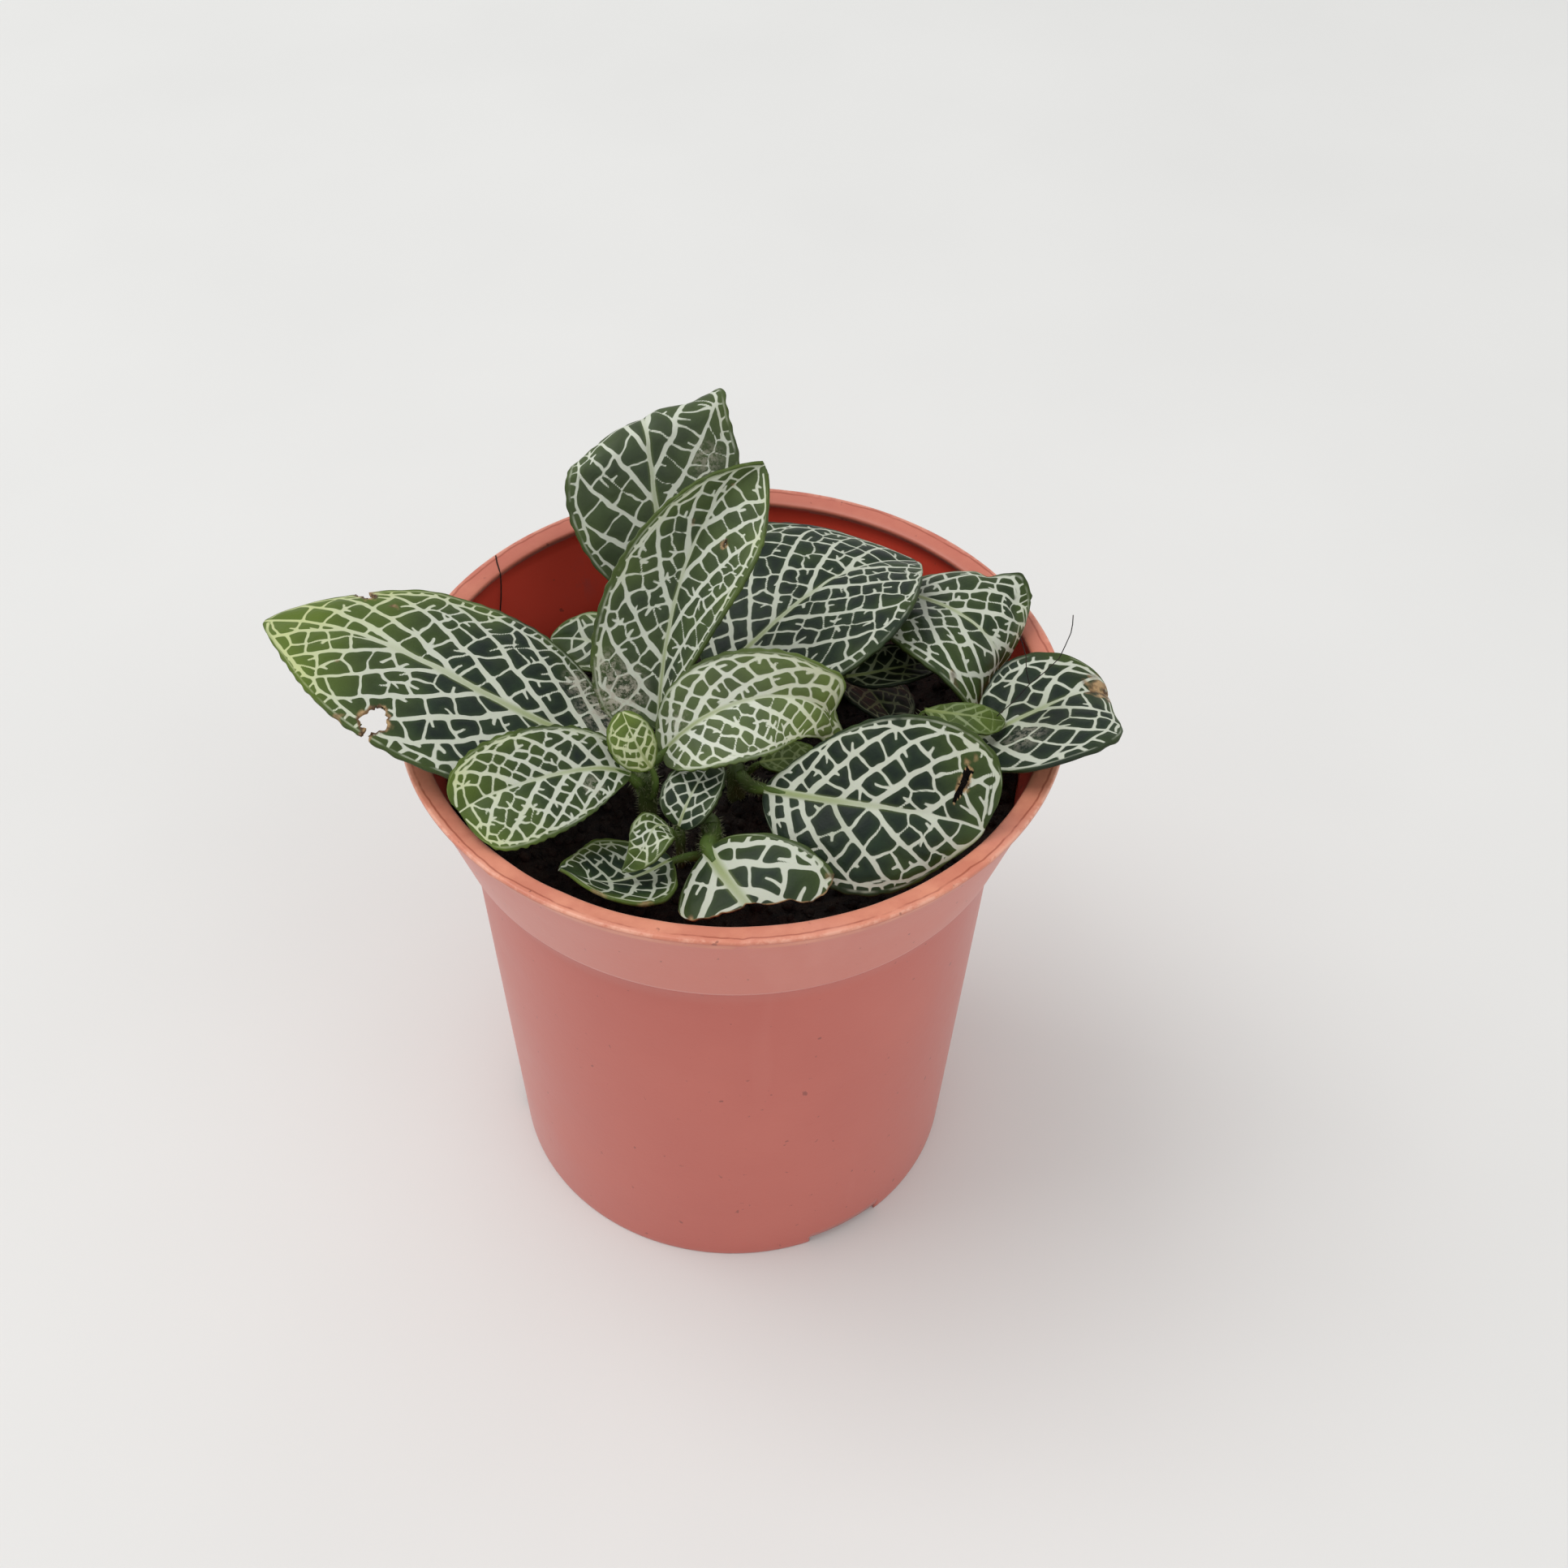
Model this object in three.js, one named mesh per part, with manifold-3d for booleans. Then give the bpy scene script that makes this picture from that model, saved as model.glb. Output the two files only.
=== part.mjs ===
// Potted nerve plant: thin-walled nursery pot, soil plug, stems and veined leaves.
// Units are millimetres, +Z is up, the front of the pot faces -Y.
// The origin lies at the centre of the pot's underside.
import * as THREE from 'three';
import { mergeVertices } from 'three/addons/utils/BufferGeometryUtils.js';
import Module from 'manifold-3d';

const wasm = await Module();
wasm.setup();

// Driving dimensions
const RIM_RADIUS = 50;
const POT_HEIGHT = 98.5;
const LIP_WIDTH = 3.4;
const LIP_DROP = 0.4;
const LIP_THICKNESS = 0.9;
const WALL = 1.2;
const COLLAR_FOOT_Z = 80;
const COLLAR_FOOT_RADIUS = 44.3;
const COLLAR_MIDDLE_Z = 89;
const COLLAR_MIDDLE_RADIUS = 46.8;
const COLLAR_TOP_RADIUS = 49.3;
const BODY_TOP_RADIUS = 42;
const BODY_FOOT_RADIUS = 38.3;
const BODY_FOOT_Z = 3;
const FOOT_RADIUS = 37.4;
const FOOT_RING_INNER_RADIUS = 35.6;
const FLOOR_UNDERSIDE_Z = 2;
const FLOOR_TOP_Z = 3.4;
const HUB_RADIUS = 7;
const POT_SIDES = 64;
const DRAIN_COUNT = 6;
const DRAIN_RADIUS = 3.5;
const DRAIN_CIRCLE = 24;
const DRAIN_SIDES = 20;
const CUT_THROUGH = 6;
const NOTCH_COUNT = 3;
const NOTCH_START_DEG = -59.5;
const NOTCH_SPAN_DEG = 21;
const NOTCH_HEIGHT = 1.8;
const NOTCH_DEPTH = 9;
const EDGE = 0.3;
const LIP_UNDERCUT = 0.8;
const STEP_RISE = 0.4;
const FOOT_BEVEL = 0.5;
const FLOOR_FILLET = 1;

const CLEARANCE = 0.3;
const SOIL_CLEARANCE = 0.4;
const SOIL_TOP_Z = 86;
const SOIL_CROWN = 1;
const SOIL_SIDES = 48;
const SOIL_EDGE = 1.5;

const BLADE_THICKNESS = 0.8;
const TIP_HALF_WIDTH = 0.35;
const BLADE_END = 0.004;
const HOLE_CUT_DEPTH = 8;
const HOLE_SIDES = 12;
const STEM_SIDES = 12;
const STEM_FOOT_Z = 66;
const STEM_SHOULDER = 0.6;
const STEM_TOP_SHARE = 0.7;
const PETIOLE_SIDES = 8;
const PETIOLE_STEPS = 5;
const END_ROOM = 0.15;
const PETIOLE_OVERLAP = 0.06;
const PETIOLE_TAPER = 0.8;
const PETIOLE_LEAVE = 0.3;
const PETIOLE_ARRIVE = 0.35;

const POT_COLOUR = 0xbb6450;
const SOIL_COLOUR = 0x15100f;
const STEM_COLOUR = 0x5a7440;
const LEAF_COLOUR = 0x2f4f38;
const YOUNG_LEAF_COLOUR = 0x5f8f2c;

// Stems: where each one leaves the soil and how high it ends
const STEMS = {
  stem_main: { at: [-12.5, -17], top: 98, radius: 1.5 },
  stem_front: { at: [-3.2, -22.5], top: 94, radius: 1.5 },
  stem_small: { at: [-7.6, -24.2], top: 93.6, radius: 0.8 },
  stem_right_front: { at: [0.5, -12], top: 94.5, radius: 1.5 },
  stem_centre: { at: [-6.5, 0], top: 95, radius: 1.5 },
  stem_back: { at: [-11, 15], top: 94, radius: 1.5 },
  stem_right: { at: [14.5, 8], top: 92, radius: 1.5 },
  stem_right_back: { at: [20, 21], top: 97, radius: 1.5 },
  stem_far_right: { at: [29, -12], top: 95, radius: 1.5 },
};

// Leaves. rib: five control points of the midrib from base to tip; side: the
// direction of the blade's right half, seen from above; width: half-widths left and right of the midrib;
// fold: rise of each half; curl: change of that slope toward the margin;
// roll: turn about the midrib at base and tip; round and point: how full the
// blade is toward its base and its tip; stem, join and from: the stem that
// carries the petiole, the height of the joint and the side it leaves by.
const LEAVES = {
  leaf_left_large: {
    rib: [[-15, -11.5, 95.5], [-30.5, -11.5, 101], [-43, -3.5, 106], [-54.5, 5.5, 108], [-70.5, 7.5, 105]],
    side: [0.34, 0.92, 0.18], width: [19, 19], fold: [6, 6], curl: [-16, -19], roll: [-15, -18],
    round: [0.64, 0.66], point: [0.75, 0.86], rows: 18, columns: 8, petiole: 1.1,
    stem: 'stem_main', join: 92, from: [-3, 5.5, 0],
  },
  leaf_left_front: {
    rib: [[-14.5, -21, 101], [-20, -21, 104.5], [-26, -25, 104], [-34, -26.5, 104], [-38, -28.5, 101]],
    side: [-0.3, 0.95, 0], width: [9, 7.5], fold: [11, 13], curl: [-15, -5], roll: [32, 32],
    round: [0.61, 0.54], point: [0.3, 0.38], rows: 14, columns: 8, petiole: 0.9,
    stem: 'stem_main', join: 96.5, from: [-3, -4, 0],
  },
  leaf_centre_upright: {
    rib: [[-10.5, -10.5, 99.5], [-10.5, -3, 109], [-8, 3, 117], [-5, 7.5, 128.5], [4.5, 8, 133]],
    side: [0.93, -0.26, -0.26], width: [11, 12], fold: [26, 25], curl: [13, 15], roll: [40, -13],
    round: [0.28, 0.59], point: [0.8, 0.51], rows: 18, columns: 8, petiole: 1,
    stem: 'stem_main', join: 96, from: [1.5, 6, 0],
  },
  leaf_back_upright: {
    rib: [[-11, 20.3, 97.5], [-10.5, 24.3, 108], [-13.5, 30.3, 117.5], [-14, 36.3, 127], [-13, 39.8, 137]],
    side: [1, 0.02, 0.03], width: [14, 14.5], fold: [5, 5], curl: [-22, -24], roll: [-19, -17],
    round: [0.57, 0.61], point: [0.69, 0.64], rows: 22, columns: 8, petiole: 1,
    bend: { at: [-12.9, 30.9, 118], axis: [0.87, 0.47, 0.15],
      toward: [-2, 19.5, 39.5], radius: 3, degrees: 118 },
    stem: 'stem_back', join: 92, from: [0, 1, 0],
  },
  leaf_right_broad: {
    rib: [[-3, 1.5, 98], [4.5, 5, 105], [12.5, 11, 110], [18.5, 17.5, 109.5], [28.5, 21, 105.5]],
    side: [0.56, -0.79, -0.24], width: [19, 18], fold: [9, 11], curl: [-14, -10], roll: [5, 27],
    round: [0.66, 0.67], point: [0.78, 0.76], rows: 16, columns: 8, petiole: 1,
    stem: 'stem_centre', join: 93, from: [1, 0.4, 0],
  },
  leaf_centre_front: {
    rib: [[-10, -16.1, 100.2], [-5, -16.6, 109.7], [4.5, -15.1, 114.2],
      [14.5, -14.1, 111.7], [15.5, -15.1, 101.2]],
    side: [0.04, -0.96, -0.29], width: [7.5, 8.5], fold: [15, 13], curl: [1, -10], roll: [-12, -64],
    round: [0.51, 0.48], point: [0.77, 0.78], rows: 18, columns: 8, petiole: 0.8,
    stem: 'stem_main', join: 98, from: [0, 0, 1],
  },
  leaf_young_lime: {
    rib: [[-11.5, -20.5, 102], [-13, -20.5, 104.5], [-13.5, -20, 106],
      [-14.5, -19, 108], [-15.5, -17, 109.5]],
    side: [0.87, 0.42, 0.26], width: [4, 3], fold: [12, 12], curl: [-9, -11], roll: [-2, -3],
    round: [0.56, 0.57], point: [0.76, 0.75], rows: 8, columns: 6, petiole: 0.6, young: true,
    stem: 'stem_main', join: 94, from: [1, -3.5, 0],
  },
  leaf_front_right: {
    rib: [[4.5, -21.7, 98.9], [12.5, -26.7, 101.4], [18.5, -29.2, 103.4],
      [27.5, -30.2, 103.4], [35, -30.6, 99.8]],
    side: [-0.25, -0.83, -0.49], width: [13.5, 12.7], fold: [11, 4], curl: [-4, -23], roll: [4, -20],
    round: [0.71, 0.68], point: [0.33, 0.76], rows: 16, columns: 8, petiole: 1.1,
    stem: 'stem_right_front', join: 93, from: [0.6, -1, 0],
  },
  leaf_front_cut: {
    rib: [[-3.5, -30.1, 95.2], [-1, -38.1, 97.7], [3.5, -43.6, 95.2],
      [9.5, -47.1, 91.2], [13, -52.1, 87.2]],
    side: [-0.81, -0.58, -0.1], width: [12, 11], fold: [9, 8], curl: [-13, -21], roll: [-22, -8],
    round: [0.65, 0.65], point: [0.7, 0.71], rows: 10, columns: 12, petiole: 1.5,
    trim: [0.57, 0.57, 0.49, 0.42, 0.37, 0.31, 0.3, 0.31, 0.24],
    stem: 'stem_front', join: 92.5, from: [0.2, -1, 0],
  },
  leaf_front_low: {
    rib: [[-8.6, -28.8, 91.6], [-12, -30.8, 91.3], [-14.5, -34.4, 91.8],
      [-19.5, -35.8, 93.5], [-24, -35.4, 97.2]],
    side: [-0.39, 0.92, 0], width: [8.8, 9.6], fold: [13, 12], curl: [-6, -11], roll: [-8, -14],
    round: [0.8, 0.62], point: [0.71, 0.67], rows: 12, columns: 8, petiole: 0.8,
    stem: 'stem_front', join: 89, from: [0.1, -1, 0],
  },
  leaf_small_right: {
    rib: [[-7.6, -25.2, 95], [-7, -24.9, 97.3], [-6, -21.8, 99], [-3.5, -18.2, 99.3], [-2.5, -15.4, 99.1]],
    side: [0.89, -0.39, -0.25], width: [4.5, 4.5], fold: [14, 15], curl: [-8, -2], roll: [13, 12],
    round: [0.57, 0.57], point: [0.74, 0.72], rows: 8, columns: 6, petiole: 0.6,
    stem: 'stem_small', join: 93.6, from: [0, 0, 1],
  },
  leaf_small_left: {
    rib: [[-9.2, -27, 96.4], [-11.5, -28.5, 99.5], [-11.5, -31.5, 100], [-11.5, -33, 98], [-15.5, -34, 95]],
    side: [-0.72, 0.7, 0], width: [3.5, 3], fold: [12, 13], curl: [-11, -6], roll: [11, 7],
    round: [0.58, 0.56], point: [0.75, 0.79], rows: 8, columns: 6, petiole: 0.6,
    stem: 'stem_small', join: 92.9, from: [-0.6, -1, 0],
  },
  leaf_right_back: {
    rib: [[24, 19.6, 100.3], [31.5, 13.1, 105.8], [40, 2.1, 107.8], [41.5, 2.6, 101.3], [39.5, 8.1, 91.3]],
    side: [-0.65, -0.74, -0.15], width: [13, 13.5], fold: [9, 10], curl: [-17, -13], roll: [9, 11],
    round: [0.62, 0.58], point: [0.66, 0.68], rows: 18, columns: 8, petiole: 0.9,
    stem: 'stem_right_back', join: 95, from: [1, -0.4, 0],
  },
  leaf_far_right: {
    rib: [[35, -10.1, 96.7], [41, -11.1, 101.7], [46.5, -8.6, 103.2], [52, -4.6, 104.2], [55, -5.6, 101.7]],
    side: [0.21, -0.98, 0], width: [11, 14.5], fold: [11, 11], curl: [-5, -11], roll: [9, 3],
    round: [0.56, 0.59], point: [0.74, 0.68], rows: 14, columns: 8, petiole: 0.9,
    stem: 'stem_far_right', join: 93, from: [1, 0.2, 0],
  },
  leaf_young_right: {
    rib: [[28, -8.5, 101.8], [31.5, -11, 103.3], [34, -12, 104.3], [36.5, -12, 103.3], [39.5, -10, 101.1]],
    side: [-0.14, -0.95, -0.28], width: [2, 3], fold: [10, 11], curl: [-14, -10], roll: [-10, -6],
    round: [0.74, 0.73], point: [0.63, 0.63], rows: 8, columns: 6, petiole: 0.6, young: true,
    stem: 'stem_far_right', join: 93.5, from: [-0.3, 1, 0],
  },
  leaf_shaded_upper: {
    rib: [[17, 2.4, 98.4], [21, 2.4, 98.9], [25, 2.9, 99.8], [28.5, 4.9, 99.3], [31.5, 6.9, 97.3]],
    side: [0.32, -0.95, 0], width: [4.5, 4], fold: [14, 14], curl: [-5, -7], roll: [-6, -2],
    round: [0.6, 0.6], point: [0.73, 0.73], rows: 8, columns: 6, petiole: 0.7,
    stem: 'stem_right', join: 92, from: [0, 0, 1],
  },
  leaf_shaded_lower: {
    rib: [[18.5, 9.5, 92], [20, 7, 93.5], [21.5, 4, 93], [24, 1, 92.5], [24.5, -2.5, 92.5]],
    side: [-0.89, -0.45, 0], width: [7, 6.5], fold: [11, 12], curl: [-14, -7], roll: [19, 20],
    round: [0.6, 0.6], point: [0.7, 0.7], rows: 8, columns: 6, petiole: 0.7,
    stem: 'stem_right', join: 89.5, from: [1, 0.3, 0],
  },
  leaf_behind_left: {
    rib: [[-14, 10, 96], [-18, 9.5, 97.5], [-21, 10.5, 98.5], [-24, 12.5, 98], [-28.5, 14.5, 95.5]],
    side: [0.31, 0.93, 0.19], width: [5, 5], fold: [10, 11], curl: [-15, -10], roll: [20, 15],
    round: [0.7, 0.68], point: [0.65, 0.67], rows: 8, columns: 6, petiole: 0.7,
    stem: 'stem_back', join: 92, from: [-0.5, -1, 0],
  },
  leaf_shaded_young: {
    rib: [[4, -12.5, 95], [6, -13, 96], [8, -13, 96.5], [11, -12, 96], [12.5, -13.5, 95.5]],
    side: [-0.11, -0.97, -0.19], width: [3, 3], fold: [11, 11], curl: [-11, -11], roll: [1, -2],
    round: [0.75, 0.76], point: [0.59, 0.58], rows: 8, columns: 6, petiole: 0.6, young: true,
    stem: 'stem_right_front', join: 92, from: [1, 0.2, 0],
  },
};

// Holes and slits in the blades: place as a share of the midrib and of the
// half-width, with the radius of the round cutter
const HOLES = [
  { leaf: 'leaf_left_large', along: 0.53, across: -0.8, radius: 2 },
  { leaf: 'leaf_left_large', along: 0.81, across: 0.97, radius: 1.5 },
];

const radians = (degrees) => (degrees * Math.PI) / 180;
const vector = (a) => new THREE.Vector3(a[0], a[1], a[2]);

function toManifold(geometry) {
  const bare = geometry.clone();
  bare.deleteAttribute('normal');
  bare.deleteAttribute('uv');
  const welded = mergeVertices(bare, 1e-5);
  return new wasm.Manifold(new wasm.Mesh({
    numProp: 3,
    vertProperties: new Float32Array(welded.attributes.position.array),
    triVerts: new Uint32Array(welded.index.array),
  }));
}

function toGeometry(solid) {
  const mesh = solid.getMesh();
  const geometry = new THREE.BufferGeometry();
  const points = new Float32Array(mesh.numVert * 3);
  for (let i = 0; i < mesh.numVert; i += 1) {
    for (let k = 0; k < 3; k += 1) {
      points[i * 3 + k] = mesh.vertProperties[i * mesh.numProp + k];
    }
  }
  geometry.setAttribute('position', new THREE.BufferAttribute(points, 3));
  geometry.setIndex(Array.from(mesh.triVerts));
  return geometry;
}

function lathe(profile, sides) {
  const points = profile.map(([r, z]) => new THREE.Vector2(r, z));
  const geometry = new THREE.LatheGeometry(points, sides);
  geometry.rotateX(Math.PI / 2);
  return geometry;
}

function solidLathe(profile, sides) {
  return outward(toManifold(lathe(profile, sides)), profile, sides);
}

// A lathe profile wound the other way gives an inside-out solid; this turns it
function outward(solid, profile, sides) {
  if (solid.volume() > 0) {
    return solid;
  }
  return toManifold(lathe([...profile].reverse(), sides));
}

function cylinderAt(radius, height, sides, x, y, z) {
  const geometry = new THREE.CylinderGeometry(radius, radius, height, sides);
  geometry.rotateX(Math.PI / 2);
  geometry.translate(x, y, z + height / 2);
  return toManifold(geometry);
}

// Points of the midrib (a Bezier curve of any degree)
function curvePoint(controls, s) {
  let points = controls.map(vector);
  while (points.length > 1) {
    points = points.slice(1).map((p, i) => points[i].clone().lerp(p, s));
  }
  return points[0];
}

function curveTangent(controls, s) {
  const step = 0.001;
  return curvePoint(controls, s + step).sub(curvePoint(controls, s - step)).normalize();
}

// Share of the full half-width at s, largest where the blade is broadest
function fullness(s, round, point) {
  const peak = round / (round + point);
  const at = Math.min(Math.max(s, 1e-6), 1 - 1e-6);
  return (at / peak) ** round * ((1 - at) / (1 - peak)) ** point;
}

// Bends everything beyond a line in the blade round that line
function bendBack(p, bend) {
  const axis = vector(bend.axis).normalize();
  const along = vector(bend.toward);
  along.addScaledVector(axis, -along.dot(axis)).normalize();
  const up = new THREE.Vector3().crossVectors(axis, along);
  const offset = p.clone().sub(vector(bend.at));
  const a = offset.dot(axis);
  const d = offset.dot(along);
  const h = offset.dot(up);
  if (d <= 0) {
    return p;
  }
  const turn = Math.min(d / bend.radius, radians(bend.degrees));
  const rest = d - bend.radius * turn;
  const forward = along.clone().multiplyScalar(Math.cos(turn)).addScaledVector(up, -Math.sin(turn));
  const normal = along.clone().multiplyScalar(Math.sin(turn)).addScaledVector(up, Math.cos(turn));
  return vector(bend.at)
    .addScaledVector(axis, a)
    .addScaledVector(along, bend.radius * Math.sin(turn))
    .addScaledVector(up, -bend.radius * (1 - Math.cos(turn)))
    .addScaledVector(forward, rest)
    .addScaledVector(normal, h);
}

function trimShare(trim, t) {
  if (!trim) {
    return 1;
  }
  const place = ((t + 1) / 2) * (trim.length - 1);
  const left = Math.min(Math.floor(place), trim.length - 2);
  return trim[left] + (trim[left + 1] - trim[left]) * (place - left);
}

// The middle surface of a blade: s runs base to tip, t from -1 to 1 across
function bladePoint(leaf, share, t) {
  const s = share * trimShare(leaf.trim, t);
  const half = t > 0 ? 1 : 0;
  const tangent = curveTangent(leaf.rib, s);
  const side = vector(leaf.side);
  side.addScaledVector(tangent, -side.dot(tangent)).normalize();
  const up = new THREE.Vector3().crossVectors(side, tangent);
  const roll = radians(leaf.roll[0] * (1 - s) + leaf.roll[1] * s);
  const across = side.clone().multiplyScalar(Math.cos(roll)).addScaledVector(up, Math.sin(roll));
  const normal = side.clone().multiplyScalar(-Math.sin(roll)).addScaledVector(up, Math.cos(roll));
  const width = leaf.width[half] * fullness(s, leaf.round[half], leaf.point[half]);
  const reach = Math.abs(t) * Math.max(width, TIP_HALF_WIDTH);
  const rise = radians(leaf.fold[half] + (leaf.curl[half] * Math.abs(t)) / 2);
  const point = curvePoint(leaf.rib, s)
    .addScaledVector(across, reach * Math.cos(rise) * Math.sign(t))
    .addScaledVector(normal, reach * Math.sin(rise));
  return leaf.bend ? bendBack(point, leaf.bend) : point;
}

function bladeNormal(leaf, s, t) {
  const step = BLADE_END;
  const low = Math.max(s - step, 0.001);
  const high = Math.min(s + step, 0.999);
  const along = bladePoint(leaf, high, t).sub(bladePoint(leaf, low, t));
  const left = Math.max(t - step * 5, -1);
  const right = Math.min(t + step * 5, 1);
  const across = bladePoint(leaf, s, right).sub(bladePoint(leaf, s, left));
  return across.cross(along).normalize();
}

// A closed blade: two like-split faces and a narrow edge all round
function blade(leaf) {
  const rows = leaf.rows;
  const columns = leaf.columns;
  const points = [];
  for (const face of [0.5, -0.5]) {
    for (let i = 0; i <= rows; i += 1) {
      const s = BLADE_END + ((1 - 2 * BLADE_END) * i) / rows;
      for (let j = 0; j <= columns; j += 1) {
        const t = -1 + (2 * j) / columns;
        const normal = bladeNormal(leaf, s, t);
        points.push(bladePoint(leaf, s, t).addScaledVector(normal, face * BLADE_THICKNESS));
      }
    }
  }
  const lower = (rows + 1) * (columns + 1);
  const at = (i, j) => i * (columns + 1) + j;
  const triangles = [];
  const quad = (a, b, c, d) => triangles.push(a, b, c, a, c, d);
  for (let i = 0; i < rows; i += 1) {
    for (let j = 0; j < columns; j += 1) {
      quad(at(i, j), at(i, j + 1), at(i + 1, j + 1), at(i + 1, j));
      triangles.push(lower + at(i, j), lower + at(i + 1, j + 1), lower + at(i, j + 1));
      triangles.push(lower + at(i, j), lower + at(i + 1, j), lower + at(i + 1, j + 1));
    }
  }
  const rim = [];
  for (let j = 0; j < columns; j += 1) rim.push(at(0, j));
  for (let i = 0; i < rows; i += 1) rim.push(at(i, columns));
  for (let j = columns; j > 0; j -= 1) rim.push(at(rows, j));
  for (let i = rows; i > 0; i -= 1) rim.push(at(i, 0));
  rim.forEach((a, k) => {
    const b = rim[(k + 1) % rim.length];
    quad(a, lower + a, lower + b, b);
  });
  return closedMesh(points, triangles);
}

function closedMesh(points, triangles) {
  const geometry = new THREE.BufferGeometry();
  const numbers = points.flatMap((p) => p.toArray());
  geometry.setAttribute('position', new THREE.Float32BufferAttribute(numbers, 3));
  geometry.setIndex(triangles);
  let solid = toManifold(geometry);
  if (solid.volume() < 0) {
    const turned = [];
    for (let k = 0; k < triangles.length; k += 3) {
      turned.push(triangles[k], triangles[k + 2], triangles[k + 1]);
    }
    geometry.setIndex(turned);
    solid = toManifold(geometry);
  }
  return solid;
}

// A round tube along a Bezier curve, closed by flat ends
function tube(controls, startRadius, endRadius, sides, steps) {
  const points = [];
  let side = null;
  for (let i = 0; i <= steps; i += 1) {
    const s = i / steps;
    const tangent = curveTangent(controls, Math.min(Math.max(s, 0.002), 0.998));
    if (!side) {
      side = new THREE.Vector3(0, 0, 1).cross(tangent);
      if (side.length() < 0.2) {
        side = new THREE.Vector3(1, 0, 0).cross(tangent);
      }
    }
    side.addScaledVector(tangent, -side.dot(tangent)).normalize();
    const up = new THREE.Vector3().crossVectors(tangent, side);
    const radius = startRadius + (endRadius - startRadius) * s;
    for (let j = 0; j < sides; j += 1) {
      const angle = (2 * Math.PI * j) / sides;
      points.push(curvePoint(controls, s)
        .addScaledVector(side, radius * Math.cos(angle))
        .addScaledVector(up, radius * Math.sin(angle)));
    }
  }
  const triangles = [];
  for (let i = 0; i < steps; i += 1) {
    for (let j = 0; j < sides; j += 1) {
      const k = (j + 1) % sides;
      const a = i * sides;
      triangles.push(a + j, a + k, a + sides + k, a + j, a + sides + k, a + sides + j);
    }
  }
  for (let j = 1; j < sides - 1; j += 1) {
    triangles.push(0, j + 1, j);
    triangles.push(steps * sides, steps * sides + j, steps * sides + j + 1);
  }
  return closedMesh(points, triangles);
}

function petiole(leaf) {
  const stem = STEMS[leaf.stem];
  const out = vector(leaf.from).normalize();
  const reach = out.z > 0.5 ? CLEARANCE + END_ROOM : stem.radius + CLEARANCE + END_ROOM;
  const end = new THREE.Vector3(stem.at[0], stem.at[1], leaf.join).addScaledVector(out, reach);
  const start = curvePoint(leaf.rib, PETIOLE_OVERLAP);
  const base = curvePoint(leaf.rib, 0);
  const span = base.distanceTo(end);
  const leave = base.clone().addScaledVector(curveTangent(leaf.rib, 0.01), -span * PETIOLE_LEAVE);
  const arrive = end.clone().addScaledVector(out, span * PETIOLE_ARRIVE);
  const controls = [start, base, leave, arrive, end].map((p) => p.toArray());
  return tube(controls, leaf.petiole * PETIOLE_TAPER, leaf.petiole, PETIOLE_SIDES, PETIOLE_STEPS);
}

function leafSolid(name) {
  const leaf = LEAVES[name];
  let solid = blade(leaf).add(petiole(leaf));
  for (const hole of HOLES.filter((h) => h.leaf === name)) {
    const centre = bladePoint(leaf, hole.along, hole.across);
    const normal = bladeNormal(leaf, hole.along, Math.min(hole.across, 1));
    const cutter = new THREE.CylinderGeometry(hole.radius, hole.radius, HOLE_CUT_DEPTH, HOLE_SIDES);
    const turn = new THREE.Quaternion().setFromUnitVectors(new THREE.Vector3(0, 1, 0), normal);
    cutter.applyQuaternion(turn);
    cutter.translate(centre.x, centre.y, centre.z);
    solid = solid.subtract(toManifold(cutter));
  }
  return solid;
}

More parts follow.
